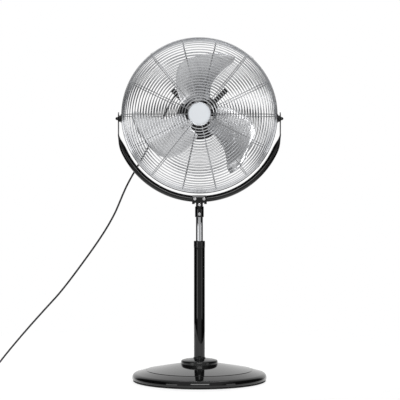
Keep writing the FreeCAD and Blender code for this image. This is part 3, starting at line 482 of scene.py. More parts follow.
def makeSmudges():
    # Uneven shine: a value that wanders between Low and High
    group, given, made = effectGroup("smudges", {"Scale": 30.0, "Low": 0.1, "High": 0.2}, ["Value"])
    cloud = noiseNode(group, stretchedPlace(group), given.outputs["Scale"], 5.0, 1.2)
    shine = rangeNode(group, cloud, (0.3, 0.7), (given.outputs["Low"], given.outputs["High"]), False)
    group.links.new(shine, made.inputs["Value"])
    return group


def makeDust():
    # Fine dust on what faces up
    group, given, made = effectGroup("dust", {"Amount": 0.2, "Scale": 900.0}, ["Mask"])
    normal = group.nodes.new("ShaderNodeNewGeometry").outputs["Normal"]
    split = group.nodes.new("ShaderNodeSeparateXYZ")
    group.links.new(normal, split.inputs[0])
    upward = mathNode(group, "POWER", mathNode(group, "MAXIMUM", split.outputs["Z"], 0.0), 3.0)
    place = stretchedPlace(group)
    specks = noiseNode(group, place, given.outputs["Scale"], 3.0)
    drifts = noiseNode(group, place, 14.0, 3.0)
    fine = mathNode(group, "MULTIPLY", specks, drifts)
    settled = mathNode(group, "MULTIPLY", mathNode(group, "MULTIPLY", fine, upward), given.outputs["Amount"])
    group.links.new(settled, made.inputs["Mask"])
    return group


def makeGrain():
    # Noise stretched by a scale along each axis: rolled, drawn, moulded or cast skins
    inputs = {"Across": 400.0, "Depth": 400.0, "Up": 400.0, "Detail": 3.0}
    group, given, made = effectGroup("grain", inputs, ["Mask", "Height"])
    place = stretchedPlace(group, [given.outputs[axis] for axis in ("Across", "Depth", "Up")])
    cloud = noiseNode(group, place, 1.0, given.outputs["Detail"])
    spread = mathNode(group, "MULTIPLY_ADD", cloud, 2.4, -0.7)
    clamped = mathNode(group, "MINIMUM", mathNode(group, "MAXIMUM", spread, 0.0), 1.0)
    group.links.new(clamped, made.inputs["Mask"])
    group.links.new(cloud, made.inputs["Height"])
    return group


def makeSpecks():
    # Small separate flecks and pits
    group, given, made = effectGroup("specks", {"Scale": 700.0, "Size": 0.2}, ["Mask", "Height"])
    cells = group.nodes.new("ShaderNodeTexVoronoi")
    group.links.new(stretchedPlace(group), cells.inputs["Vector"])
    group.links.new(given.outputs["Scale"], cells.inputs["Scale"])
    near = mathNode(group, "LESS_THAN", cells.outputs["Distance"], given.outputs["Size"])
    group.links.new(near, made.inputs["Mask"])
    group.links.new(cells.outputs["Distance"], made.inputs["Height"])
    return group


smudges = makeSmudges()
dust = makeDust()
grain = makeGrain()
specks = makeSpecks()
print("effects made")


def placeGroup(tree, group, values):
    step = tree.nodes.new("ShaderNodeGroup")
    step.node_tree = group
    setSockets(step, values)
    return step


def mixedColour(tree, share, first, second):
    step = tree.nodes.new("ShaderNodeMix")
    step.data_type = "RGBA"
    feed(tree, step.inputs["Factor"], share)
    for socket, value in ((step.inputs[6], first), (step.inputs[7], second)):
        feed(tree, socket, (*value, 1) if isinstance(value, tuple) else value)
    return step.outputs[2]


def makeFinish(name, dark, light, shine, scales, bumps, rest):
    material = bpy.data.materials.new(name)
    material.use_nodes = True
    tree = material.node_tree
    shader = tree.nodes["Principled BSDF"]
    across, depth, up = scales if isinstance(scales, tuple) else (scales,) * 3
    skin = placeGroup(tree, grain, {"Across": across, "Depth": depth, "Up": up, "Detail": 4.0})
    colour = mixedColour(tree, skin.outputs["Mask"], dark, light)
    if rest.get("dust"):
        settled = placeGroup(tree, dust, {"Amount": rest["dust"], "Scale": 900.0})
        colour = mixedColour(tree, settled.outputs["Mask"], colour, (0.5, 0.49, 0.47))
    tree.links.new(colour, shader.inputs["Base Color"])
    patch = placeGroup(tree, smudges, {"Scale": 24.0, "Low": shine[0], "High": shine[1]})
    tree.links.new(patch.outputs["Value"], shader.inputs["Roughness"])
    setSockets(shader, {"Metallic": rest.get("metal", 0.0), "Coat Weight": rest.get("coat", 0.0),
        "Coat Roughness": 0.03, "Specular IOR Level": rest.get("specular", 0.5)})
    bump = tree.nodes.new("ShaderNodeBump")
    setSockets(bump, dict(zip(("Strength", "Distance"), bumps)))
    height = skin.outputs["Height"]
    if rest.get("pits"):
        pitted = placeGroup(tree, specks, {"Scale": rest["pits"][0], "Size": rest["pits"][1]})
        height = mathNode(tree, "MULTIPLY", height, pitted.outputs["Height"])
    tree.links.new(height, bump.inputs["Height"])
    tree.links.new(bump.outputs["Normal"], shader.inputs["Normal"])
    return material


# Dark colour, light colour, shine from and to, grain across, deep and up, bump strength and depth, and the rest
looks = {
    # Stoved gloss enamel: a very slight orange peel under a hard shine, with a trace of dust on top
    "black_enamel": ((0.002, 0.002, 0.0022), (0.004, 0.004, 0.0043), (0.035, 0.08), 420, (0.02, 0.0001),
        {"coat": 0.4, "specular": 0.3, "dust": 0.04}),
    "chrome_wire": ((0.70, 0.71, 0.73), (0.84, 0.85, 0.87), (0.08, 0.14), 900, (0.01, 0.00002), {"metal": 1.0}),
    "chrome_tube": ((0.76, 0.77, 0.79), (0.86, 0.87, 0.89), (0.03, 0.08), (1500, 1500, 30), (0.006, 0.00002),
        {"metal": 1.0}),
    # Rolled sheet: fine lines along the mill's run
    "blade_aluminium": ((0.84, 0.845, 0.855), (0.90, 0.905, 0.915), (0.20, 0.27), (30, 400, 700),
        (0.02, 0.00003), {"metal": 1.0}),
    "zinc_fastener": ((0.52, 0.52, 0.53), (0.74, 0.74, 0.74), (0.20, 0.36), 1600, (0.12, 0.00006),
        {"metal": 1.0}),
    "badge_silver": ((0.84, 0.88, 0.93), (0.90, 0.93, 0.96), (0.34, 0.46), (2400, 400, 2400), (0.06, 0.00004),
        {"metal": 0.1}),
    "badge_bevel": ((0.80, 0.81, 0.83), (0.90, 0.91, 0.93), (0.08, 0.15), 1200, (0.04, 0.00004),
        {"metal": 0.9}),
    "black_plastic": ((0.010, 0.010, 0.011), (0.020, 0.020, 0.021), (0.34, 0.52), 1300, (0.30, 0.00012),
        {"dust": 0.16}),
    "collar_plastic": ((0.006, 0.006, 0.0065), (0.012, 0.012, 0.0125), (0.10, 0.20), 900, (0.08, 0.00008), {}),
    "black_rubber": ((0.012, 0.012, 0.012), (0.028, 0.028, 0.027), (0.60, 0.78), 800, (0.35, 0.0002),
        {"dust": 0.2}),
    "cord_pvc": ((0.010, 0.010, 0.011), (0.020, 0.020, 0.021), (0.28, 0.42), 260, (0.20, 0.0001),
        {"dust": 0.1}),
    "cast_iron": ((0.09, 0.088, 0.085), (0.20, 0.19, 0.18), (0.55, 0.75), 240, (0.8, 0.0008),
        {"metal": 0.7, "pits": (300.0, 0.25)}),
    "laminated_steel": ((0.18, 0.185, 0.19), (0.46, 0.465, 0.47), (0.30, 0.45), (40, 5200, 40), (0.7, 0.0003),
        {"metal": 1.0}),
    "copper_winding": ((0.36, 0.14, 0.06), (0.72, 0.34, 0.16), (0.22, 0.36), (1500, 60, 1500), (0.8, 0.0006),
        {"metal": 0.9}),
    "capacitor_case": ((0.34, 0.34, 0.35), (0.44, 0.44, 0.45), (0.40, 0.55), 900, (0.2, 0.0001), {}),
    "bearing_steel": ((0.55, 0.56, 0.57), (0.74, 0.75, 0.76), (0.12, 0.22), (60, 2600, 60), (0.15, 0.00006),
        {"metal": 1.0}),
    "plug_brass": ((0.55, 0.43, 0.20), (0.80, 0.66, 0.36), (0.16, 0.30), (1800, 90, 1800), (0.12, 0.00006),
        {"metal": 1.0}),
    # The guard's ribs take a darker chrome colour than its wires
    "rib_chrome": ((0.30, 0.305, 0.315), (0.44, 0.445, 0.455), (0.08, 0.18), 700, (0.06, 0.00005),
        {"metal": 1.0}),
    # The hoops' chrome is coloured near-black: a painted dark reflection
    "dark_reflection_chrome": ((0.03, 0.03, 0.032), (0.07, 0.07, 0.074), (0.08, 0.18), 700, (0.06, 0.00005),
        {"metal": 1.0}),
    "nylon": ((0.66, 0.65, 0.61), (0.78, 0.77, 0.73), (0.36, 0.50), 700, (0.15, 0.0001), {}),
}
finishes = {name: makeFinish(name, *look) for name, look in looks.items()}
slotOf = {part["node"]: part["material_slot"] for part in frame["record"]["subparts"]}
for nodeName, cadPiece in frame["nodes"].items():
    cadPiece.data.materials.clear()
    cadPiece.data.materials.append(finishes[slotOf[nodeName]])
    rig.slot(cadPiece, slotOf[nodeName])
print("materials made:", len(finishes))


def makeCamera():
    view = {"place": (0.002, -4.6, 0.614), "lens": 121.6, "sensor": 36.0}
    lens = bpy.data.cameras.new("studioCamera")
    lens.lens = view["lens"]
    lens.sensor_width = view["sensor"]
    lens.clip_end = 200
    camera = inScene("studioCamera", lens)
    camera.location = view["place"]
    camera.rotation_euler = (pi / 2, 0, 0)
    bpy.context.scene.camera = camera


def makeSoftbox(name, place, target, width, height, power):
    light = bpy.data.lights.new(name, "AREA")
    light.shape = "RECTANGLE"
    light.size = width
    light.size_y = height
    light.energy = power
    lamp = inScene(name, light)
    lamp.location = place
    lamp.rotation_euler = (Vector(target) - Vector(place)).to_track_quat("-Z", "Y").to_euler()
    lamp.visible_camera = False


def makeStudio():
    room = {"wall": 1.0, "bright": 1.0, "dim": 0.55, "side": 0.02, "floor": 0.34, "floorGlow": 0.76,
        "floorRadius": 1.15, "floorSides": 96, "floorPlace": (-0.25, 0.55, -0.0002),
        "backDepths": (0.05, 0.60), "panelWidths": (0.52, 0.80), "sweepHeights": (-0.24, -0.50)}
    scene = bpy.context.scene
    scene.view_settings.view_transform = "Standard"
    world = bpy.data.worlds.new("studioRoom")
    scene.world = world
    world.use_nodes = True
    tree = world.node_tree
    tree.nodes.clear()
    seen = tree.nodes.new("ShaderNodeBackground")
    seen.inputs["Color"].default_value = (room["wall"], room["wall"], room["wall"] * 1.002, 1)
    lit = tree.nodes.new("ShaderNodeBackground")
    split = tree.nodes.new("ShaderNodeSeparateXYZ")
    tree.links.new(tree.nodes.new("ShaderNodeTexCoord").outputs["Generated"], split.inputs[0])
    back = rangeNode(tree, split.outputs["Y"], room["backDepths"], (room["dim"], room["bright"]))
    # Dark panels stand far out on both sides
    panels = rangeNode(tree, mathNode(tree, "ABSOLUTE", split.outputs["X"]), room["panelWidths"],
        (1.0, room["side"]))
    # The pale sweep that the floor runs out to, below the horizon
    sweep = rangeNode(tree, split.outputs["Z"], room["sweepHeights"], (0.0, room["bright"]))
    shaded = mathNode(tree, "MULTIPLY", mathNode(tree, "MAXIMUM", back, sweep), panels)
    tree.links.new(shaded, lit.inputs["Strength"])
    pick = tree.nodes.new("ShaderNodeMixShader")
    tree.links.new(tree.nodes.new("ShaderNodeLightPath").outputs["Is Camera Ray"], pick.inputs["Fac"])
    tree.links.new(lit.outputs[0], pick.inputs[1])
    tree.links.new(seen.outputs[0], pick.inputs[2])
    tree.links.new(pick.outputs[0], tree.nodes.new("ShaderNodeOutputWorld").inputs["Surface"])

    mesh = bpy.data.meshes.new("studioFloor")
    rim = circlePlaces(room["floorRadius"], room["floorSides"])
    mesh.from_pydata([(x, y, 0) for x, y in rim], [], [tuple(range(len(rim)))])
    floor = inScene("studioFloor", mesh)
    floor.location = room["floorPlace"]
    material = bpy.data.materials.new("paleFloor")
    material.use_nodes = True
    tree = material.node_tree
    shader = tree.nodes["Principled BSDF"]
    mottle = placeGroup(tree, grain, {"Across": 3.0, "Depth": 3.0, "Up": 3.0, "Detail": 2.0})
    shade = room["floor"]
    colour = mixedColour(tree, mottle.outputs["Mask"], (shade - 0.01,) * 3, (shade + 0.01,) * 3)
    tree.links.new(colour, shader.inputs["Base Color"])
    setSockets(shader, {"Roughness": 0.55, "Emission Color": (1, 1, 1, 1),
        "Emission Strength": room["floorGlow"]})
    mesh.materials.append(material)
    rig.stage(floor)

    makeSoftbox("leftSoftbox", (-2.3, -2.2, 0.35), (0, 0, 0.35), 1.1, 1.1, 7)
    makeSoftbox("rightSoftbox", (2.5, -1.9, 0.35), (0, 0, 0.35), 0.9, 1.1, 4)
    makeSoftbox("frontSoftbox", (0.1, -6.0, 3.2), (0, 0, 0.8), 3.5, 2.2, 125)
    makeSoftbox("topSoftbox", (0.2, 0.4, 3.2), (0, 0, 0.6), 2.2, 1.4, 16)


makeCamera()
makeStudio()
print("camera and studio made")


cordSizes = {"diameter": 0.0065, "sides": 12, "turns": 2.25, "turnRadius": 0.0367, "turnPoints": 16}
cordUpper = inMetres([(-61, 128, 973), (-66.5, 142.5, 982.5), (-74.5, 157, 986), (-84, 170, 983),
    (-94, 179.5, 973.5), (-104, 185, 957), (-117, 187, 930), (-135, 186, 893), (-160, 183, 842),
    (-194, 178, 776), (-230, 172, 713)])
cordMiddle = inMetres([(-230, 172, 713), (-250.8, 168.5, 676.6), (-268.5, 166.8, 638), (-284, 166, 600),
    (-300, 165, 563), (-332, 163, 506), (-382, 161, 432), (-433, 160, 363)])
cordLower = inMetres([(-433, 160, 363), (-481.5, 159, 297.4), (-540, 159.8, 234), (-595, 161, 173),
    (-645, 162, 115), (-684, 163.5, 68), (-711, 164.5, 33), (-739, 165.5, 9.5), (-770, 166, 3.25)])
cordTail = inMetres([(-836, 112, 17.4), (-836.5, 93, 12), (-837, 77, 10.5), (-837, 62, 10.5)])


def coilPoints():
    middle = middleOf("cord_coil")
    radius = cordSizes["turnRadius"]
    rise = cordSizes["diameter"]
    count = round(cordSizes["turns"] * cordSizes["turnPoints"])
    for step in range(count + 1):
        turn = step / cordSizes["turnPoints"]
        angle = pi / 2 + turn * 2 * pi
        height = rise / 2 + rise * turn
        yield middle.x + radius * cos(angle), middle.y + radius * sin(angle), height


def splineLine(points):
    # The smooth line of a cord, read from its NURBS spline
    curve = bpy.data.curves.new("cordLine", "CURVE")
    curve.dimensions = "3D"
    spline = curve.splines.new("NURBS")
    spline.points.add(len(points) - 1)
    for point, place in zip(spline.points, points):
        point.co = (*place, 1)
    spline.order_u = 3
    spline.use_endpoint_u = True
    spline.resolution_u = 8
    holder = bpy.data.objects.new("cordLine", curve)
    mesh = bpy.data.meshes.new_from_object(holder)
    line = [vert.co.copy() for vert in mesh.vertices]
    bpy.data.objects.remove(holder)
    bpy.data.curves.remove(curve)
    bpy.data.meshes.remove(mesh)
    return line


def makeCord(name, points, *nodes):
    line = splineLine(points)
    section = circlePlaces(cordSizes["diameter"] / 2, cordSizes["sides"])
    piece = makePiece(name, sweptShape(line, section, upward=None), *nodes, body="blended", slot="cord_pvc")
    length = sum((far - near).length for near, far in zip(line, line[1:]))
    print(f"{name}: {length:.3f} m")
    return piece, line, length


def makeGland():
    aim = Vector((-0.3, 0.8, 0.52)).normalized()
    gland = {"start": (-0.046, 0.088, 0.947), "nut": 0.008, "nutLong": 0.018, "boot": 0.0068, "tip": 0.0042,
        "bootLong": 0.032, "rings": 7, "groove": 0.0007}
    outline = [(0, 0), (gland["nut"], 0), (gland["nut"], gland["nutLong"], 0.0012),
        (gland["boot"], gland["nutLong"])]
    for count in range(gland["rings"]):  # the boot is ringed so that it bends evenly
        share = (count + 0.35) / (gland["rings"] + 0.6)
        for part, cut in ((0, 0), (0.12, gland["groove"]), (0.42, gland["groove"]), (0.54, 0)):
            along = share + part / (gland["rings"] + 0.6)
            wide = gland["boot"] + (gland["tip"] - gland["boot"]) * along - cut
            outline.append((wide, gland["nutLong"] + gland["bootLong"] * along, 0.0002))
    reach = gland["nutLong"] + gland["bootLong"]
    outline += [(gland["tip"], reach - 0.0004), (gland["tip"] - 0.0004, reach), (0.002, reach), (0, reach)]
    shape = turned(outline, 32, False, 2)
    return makePiece("gland_boot", placed(shape, stoodAt(gland["start"], aim)), "cord_gland",
        slot="black_plastic")


def makePlug():
    plug = {"back": (-0.837, 0.062, 0.0105), "bootLong": 0.014, "bootWide": 0.0075, "bootTip": 0.0042,
        "wide": 0.024, "long": 0.024, "high": 0.021, "round": 0.0042, "ribs": 4, "ribLift": 0.0006}
    x, y, z = plug["back"]
    front = y - plug["bootLong"] + 0.001
    boot = latheShape([(0, 0), (plug["bootTip"], 0), (plug["bootTip"] + 0.0004, 0.004),
        (plug["bootWide"] - 0.001, 0.011), (plug["bootWide"], plug["bootLong"] + 0.001),
        (0, plug["bootLong"] + 0.001)], 32)
    half = plug["wide"] / 2 - plug["ribLift"]
    high = plug["high"] / 2 - 0.0003
    body = blockShape((x - half, front - plug["long"], z - high), (x + half, front, z + high), plug["round"], 5)
    shapes = [body, placed(boot, turnFront, moved(x, y, z))]
    for side in (-1, 1):
        for count in range(plug["ribs"]):  # raised ribs on both flanks, to pull the plug by
            depth = front - 0.006 - count * 0.004
            middle = x + side * (half + plug["ribLift"] - 0.0011)
            shapes.append(blockShape((middle - 0.0011, depth - 0.0009, z - 0.006),
                (middle + 0.0011, depth + 0.0009, z + 0.006), 0.0005, 2))
    body = makePiece("plug_moulding", joined(*shapes), "plug_body", slot="black_rubber")
    tip = front - plug["long"]
    pins = []
    for out in (x - 0.00635, x + 0.00635):
        pins.append(blockShape((out - 0.00075, tip - 0.016, z - 0.001), (out + 0.00075, tip + 0.002,
            z + 0.0053), 0.0005, 2))
    earth = turned(inMetres([(0, -2), (2.4, -2), (2.4, 18, 1.8), (0, 18)]), 24, False)
    pins.append(placed(earth, turnFront, moved(x, tip, z - 0.005)))
    pins = makePiece("plug_blades", joined(*pins), "plug_pins")
    return body, pins


def makeTie():
    tie = {"half": 0.0045, "thick": 0.0006, "round": 0.002}
    low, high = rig.box("coil_tie")
    edge = tie["thick"]
    middle = (low.y + high.y) / 2
    corners = [(low.x + edge, low.z + edge, tie["round"]), (high.x - edge, low.z + edge, tie["round"]),
        (high.x - edge, high.z - edge, tie["round"]), (low.x + edge, high.z - edge, tie["round"])]
    line = [Vector((point.x, middle, point.y)) for point in softened(corners, True, 5)]
    half = tie["half"]
    strap = [(-edge, -half), (-edge, half), (edge, half), (edge, -half)]
    shape = sweptShape(line, strap, closed=True)
    return makePiece("coil_strap", shape, "coil_tie")


gland = makeGland()
plugBody, plugPins = makePlug()
tie = makeTie()
upperCord, upperLine, upperLength = makeCord("cord_from_gland", cordUpper, "cord_upper")
middleCord, middleLine, middleLength = makeCord("cord_hanging", cordMiddle, "cord_middle")
lowerCord, lowerLine, lowerLength = makeCord("cord_to_plug", cordLower + list(coilPoints()) + cordTail,
    "cord_lower", "cord_coil", "cord_tail")
print(f"cord in all: {upperLength + middleLength + lowerLength:.3f} m")
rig.blend(upperCord, "head", "mast", start=cordUpper[0], end=cordUpper[-1])
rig.blend(middleCord, "mast", "pole_guide", start=cordMiddle[0], end=cordMiddle[-1])
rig.blend(lowerCord, "pole_guide", "stand", start=cordLower[0], end=cordLower[-2])
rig.cord(upperCord, exit=cordUpper[0], length=0.36, diameter=cordSizes["diameter"], far_end="object",
    stiffness="medium", lay="hanging", with_pieces=[gland], path=upperLine)
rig.cord(middleCord, exit=cordMiddle[0], length=0.40, diameter=cordSizes["diameter"], far_end="object",
    stiffness="medium", lay="hanging", path=middleLine)
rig.cord(lowerCord, exit=cordLower[0], length=1.10, diameter=cordSizes["diameter"], far_end="plug",
    stiffness="medium", lay="coiled", with_pieces=[plugBody, plugPins, tie], path=lowerLine)
print("cord made")


def bowed(start, control, end, pieces=8):
    # Points along a simple curve from start to end, pulled towards control
    start, control, end = Vector(start), Vector(control), Vector(end)
    shares = [step / pieces for step in range(pieces + 1)]
    return [start * (1 - s) ** 2 + control * 2 * s * (1 - s) + end * s ** 2 for s in shares]


def sleeveShape(outer, inner, low, high, edge=0.0003, steps=96):
    corners = [(inner, low, edge), (outer, low, edge), (outer, high, edge), (inner, high, edge)]
    return turned(corners, steps, True, 3)


def makeBase():
    base = {"shoulder": ((0.229, 0.012), (0.2283, 0.0238), (0.217, 0.0275)), "crown": (0.064, 0.0575),
        "crease": ((0.1824, 0.0359), (0.1812, 0.0351), (0.1803, 0.0357), (0.1795, 0.0374))}
    outside = [(0.0225, 0.0575), base["crown"], *reversed(base["crease"]),
        *reversed(bowed(*base["shoulder"], 10)), (0.2290, 0.0100), (0.2284, 0.0074), (0.2256, 0.0048),
        (0.2225, 0.0030)]
    inside = inMetres([(221.2, 3.4), (226.2, 7.8), (227.2, 12), (226.2, 20), (216, 25.6), (180, 34.2),
        (64, 55.9), (22.5, 55.9)])
    makePiece("base_shell_skin", latheShape(outside + inside, 256), "base_shell", sharp=24)
    ring = {"radius": 0.2225, "half": 0.003, "high": 0.003}
    corners = [(ring["radius"] - ring["half"], 0, 0.0006), (ring["radius"] + ring["half"], 0, 0.001),
        (ring["radius"] + ring["half"], ring["high"], 0.001), (ring["radius"] - ring["half"], ring["high"])]
    makePiece("base_foot_rubber", turned(corners, 192, True, 3), "base_rubber_ring")
    cover = {"outside": inMetres([(62.6, 57.5), (62.6, 69.2, 6.4), (50, 72.4, 6), (19.05, 76)]),
        "inside": inMetres([(19.05, 74.6), (49, 71), (60.8, 67.8), (61.2, 57.5)])}
    makePiece("base_dome", turned(cover["outside"] + cover["inside"], 160, True, 10), "base_cover",
        slot="black_plastic", material=finishes["collar_plastic"], sharp=24)
    ringCorners = inMetres([(18.8, 75.8), (20.75, 75.8, 0.4), (20.75, 79.6, 1.2), (18.8, 79.6, 0.5)])
    makePiece("pole_trim_ring", turned(ringCorners, 96), "pole_foot_ring")


def makePoles():
    poles = {"outer": 0.01875, "outerBore": 0.01725, "foot": 0.0615, "collar": 0.452, "inner": 0.0122,
        "innerBore": 0.011, "innerFoot": 0.158, "innerTop": 0.586}
    outer = sleeveShape(poles["outer"], poles["outerBore"], poles["foot"], poles["collar"], 0.0004, 128)
    makePiece("outer_pole_skin", outer, "outer_pole")
    inner = sleeveShape(poles["inner"], poles["innerBore"], poles["innerFoot"], poles["innerTop"], 0.0004, 128)
    makePiece("inner_pole_skin", inner, "inner_pole")
    corners = inMetres([(12.26, 404), (17.2, 404, 0.5), (17.2, 452), (19.2, 452, 0.4), (19.2, 454.8),
        (18.9, 455.2), (19.2, 455.6), (19.2, 475.5, 3.4), (12.26, 475.5, 0.7)])
    makePiece("collar_moulding", turned(corners, 128, True, 6), "height_collar")


def makeKnob():
    knob = {"radius": 0.0145, "near": 0.0226, "thick": 0.015, "lobes": 5, "depth": 0.13, "height": 0.4637}

    def lobed(radius, angle, height):
        wave = 1 - knob["depth"] + knob["depth"] * cos(knob["lobes"] * (angle + pi / 2))
        share = min(1, radius / 0.011)
        return radius * (1 - share + share * wave)

    corners = [(0, 0), (0.0065, 0, 0.0005), (0.0065, 0.0015, 0.0008), (knob["radius"], 0.0015, 0.001),
        (knob["radius"], knob["thick"], 0.0035), (0.0075, knob["thick"], 0.0006),
        (0.0068, knob["thick"] - 0.0009, 0.0004), (0, knob["thick"] - 0.0012)]
    shape = turned(corners, 120, False, 6, lobed)
    makePiece("clamp_knob_grip", placed(shape, turnToY, moved(0, knob["near"], knob["height"])), "height_knob")


def headShape(radius, high, socket, steps=48):
    # A round screw head with a hexagonal socket, its top at height high
    corners = [(0, high - 0.0024), (socket, high - 0.0024), (socket, high, 0.0002), (radius, high, 0.0014),
        (radius, 0.0002), (radius - 0.0004, 0), (0, 0)]

    def socketed(reach, angle, height):
        inside = reach <= socket * 1.05 and height > high - 0.0026
        return hexagonal(reach * 1.12, angle) if inside else reach

    return turned(corners, steps, False, 4, socketed)


def nutShape(flats, high, bore):
    corner = flats / sqrt(3)
    corners = [(bore, 0.0004), (bore + 0.0004, 0), (corner - 0.0006, 0), (corner, 0.0006),
        (corner, high - 0.0006), (corner - 0.0006, high), (bore + 0.0004, high), (bore, high - 0.0004)]

    def sided(reach, angle, height):
        flat = hexagonal(corner, angle)
        return min(reach, flat) if reach > bore + 0.0009 else reach

    return latheShape(corners, 48, sided)


def makeNeck():
    neck = {"barrel": 0.015, "foot": 0.556, "top": 0.592, "bore": 0.01225, "postWide": 0.024, "postDeep": 0.014,
        "postTop": 0.6036}
    barrel = sleeveShape(neck["barrel"], neck["bore"], neck["foot"], neck["top"] - 0.002, 0.0007, 96)
    lid = turned([(0, neck["top"] - 0.004), (neck["barrel"], neck["top"] - 0.004),
        (neck["barrel"], neck["top"], 0.0009), (0, neck["top"])], 96, False)
    post = blockShape((-neck["postWide"] / 2, -neck["postDeep"] / 2, neck["top"] - 0.003),
        (neck["postWide"] / 2, neck["postDeep"] / 2, neck["postTop"]), 0.0009, 3)
    makePiece("neck_socket_skin", joined(barrel, lid, post), "neck_socket")

    saddle = {"half": 0.025, "low": 0.604, "high": 0.630, "split": 0.0006, "deep": 0.016, "round": 0.0032,
        "earWide": 0.009, "earLow": 0.600, "tongueNear": 0.00705, "tongueFar": 0.01105}
    for name, node, side in (("saddle_front_half", "saddle_front", -1), ("saddle_rear_half", "saddle_rear", 1)):
        half = saddle["half"]
        outline = softened([(-half, -saddle["high"], saddle["round"]), (half, -saddle["high"], saddle["round"]),
            (half, -saddle["low"], 0.001), (-half, -saddle["low"], 0.001)], True, 5)
        cheek = plateShape(outline, saddle["split"], saddle["deep"], 0.0008)
        cheek = placed(cheek, turnToY)
        if side < 0:
            cheek = placed(cheek, Matrix.Scale(-1, 4, (0, 1, 0)))
        shapes = [cheek]
        for way in (-1, 1):
            near = way * (half - saddle["earWide"])
            spanX = sorted((near, way * half))
            spanY = sorted((side * (saddle["deep"] - 0.004), side * saddle["deep"]))
            shapes.append(blockShape((spanX[0], spanY[0], saddle["earLow"]),
                (spanX[1], spanY[1], saddle["low"] + 0.002), 0.0009, 3))
        spanY = sorted((side * saddle["tongueNear"], side * saddle["tongueFar"]))
        shapes.append(blockShape((-0.012, spanY[0], 0.5926), (0.012, spanY[1], 0.606), 0.0009, 3))
        makePiece(name, joined(*shapes), node)

    bolts = {"head": 0.0054, "high": 0.0046, "socket": 0.0026, "shank": 0.003, "flats": 0.010, "nutHigh": 0.005}
    places = [(-0.0154, 0.016, 0.6179), (0.0154, 0.016, 0.6179), (0, 0.01105, 0.5982)]
    head = headShape(bolts["head"], bolts["high"], bolts["socket"])
    heads = [placed(head, turnFront, moved(x, -face, z)) for x, face, z in places]
    heads.append(placed(head, turnFront, moved(0, -0.0151, 0.566)))
    for x, face, z in places:
        end = turned([(0, 0), (bolts["shank"], 0), (bolts["shank"], 0.0065, 0.0006), (0, 0.0065)], 24, False, 2)
        heads.append(placed(end, turnToY, moved(x, face, z)))
    makePiece("neck_screws", joined(*heads), "neck_bolts")
    nut = nutShape(bolts["flats"], bolts["nutHigh"], bolts["shank"])
    makePiece("neck_lock_nuts", joined(*[placed(nut, turnToY, moved(x, face, z)) for x, face, z in places]),
        "neck_nuts")


def squashedRing(middle, out, flat, wide, power, sides=32):
    # A ring between a circle (power 2) and a rounded bar (higher powers)
    ring = []
    for count in range(sides):
        turn = 2 * pi * count / sides
        x, y = cos(turn), sin(turn)
        ring.append(middle + out * flat * copysign(abs(x) ** (2 / power), x)
            + Vector((0, wide * copysign(abs(y) ** (2 / power), y), 0)))
    return ring


def makeYoke():
    yoke = {"radius": 0.2835, "tube": 0.011, "tab": 0.275, "tabFlat": 0.0018, "tabWide": 0.018, "tabTop": 0.895,
        "stages": ((-24, 0.0108, 0.0112, 2.0), (-22.5, 0.0102, 0.0118, 2.0), (-21, 0.0093, 0.0125, 2.1),
            (-19.5, 0.0080, 0.0137, 2.2), (-18.5, 0.0069, 0.0147, 2.4), (-17.5, 0.0057, 0.0156, 2.6),
            (-16.5, 0.0045, 0.0163, 3.0))}
    rings = []
    for way in (-1, 1):
        side = []
        tube = [(angle, yoke["tube"], yoke["tube"], 2) for angle in range(-90, -24, 2)]
        for angle, flat, wide, power in (*tube, *yoke["stages"]):
            lean = radians(angle)
            out = Vector((way * cos(lean), 0, sin(lean)))
            side.append(squashedRing(headAxis + out * yoke["radius"], out, flat, wide, power))
        out = Vector((way, 0, 0))
        for up, flat, wide, power in ((0.834, 0.0024, 0.0174, 4), (0.841, 0.0018, 0.0179, 6),
                (0.868, 0.0018, 0.018, 8), (yoke["tabTop"], 0.0018, 0.018, 8)):
            side.append(squashedRing(Vector((way * yoke["tab"], 0, up)), out, flat, wide, power))
        for step in range(1, 11):  # the tab's rounded top
            turn = radians(8.9 * step)
            middle = Vector((way * yoke["tab"], 0, yoke["tabTop"] + yoke["tabWide"] * sin(turn)))
            thin = yoke["tabFlat"] * (1 - 0.12 * (step / 10) ** 4)
            side.append(squashedRing(middle, out, thin, yoke["tabWide"] * cos(turn), 8))
        rings = list(reversed(side)) if way < 0 else rings + side[1:]
    makePiece("yoke_tube", loftShape(rings), "yoke", sharp=50)

    pivot = {"height": 0.891, "tabOut": 0.2768, "washer": 0.0064, "washerHigh": 0.0018, "dome": 0.0057,
        "domeHigh": 0.0092, "shankIn": 0.2575, "bush": 0.011, "bushIn": 0.26815, "bushOut": 0.27315}
    dome = [(0, 0), (pivot["washer"], 0), (pivot["washer"], pivot["washerHigh"], 0.0007),
        (pivot["dome"], pivot["washerHigh"]), (pivot["dome"], pivot["washerHigh"] + 0.0012)]
    for step in range(1, 9):
        turn = pi / 2 * step / 8
        rise = pivot["domeHigh"] - pivot["washerHigh"] - 0.0012
        high = pivot["washerHigh"] + 0.0012 + rise * sin(turn)
        dome.append((pivot["dome"] * cos(turn) if step < 8 else 0, high))
    dome = turned(dome, 48, False, 3)
    shank = latheShape([(0, pivot["shankIn"] - pivot["tabOut"]), (0.003, pivot["shankIn"] - pivot["tabOut"]),
        (0.003, 0.0002), (0, 0.0002)], 32)
    bush = sleeveShape(pivot["bush"], 0.00305, pivot["bushIn"], pivot["bushOut"], 0.0005, 48)
    bolts = []
    bushes = []
    for way in (-1, 1):
        turn = Matrix.Rotation(way * pi / 2, 4, "Y")
        bolts.append(placed(joined(dome, shank), turn, moved(way * pivot["tabOut"], 0, pivot["height"])))
        bushes.append(placed(bush, turn, moved(0, 0, pivot["height"])))
    makePiece("pivot_domes", joined(*bolts), "pivot_bolts")
    makePiece("pivot_spacers", joined(*bushes), "pivot_bushes")


def aroundHead(shape, angle):
    # Turned about the fan's axis; 0 is to the right and 90 is up
    return placed(shape, Matrix.Rotation(-radians(angle), 4, "Y"), moved(0, 0, headAxis.z))


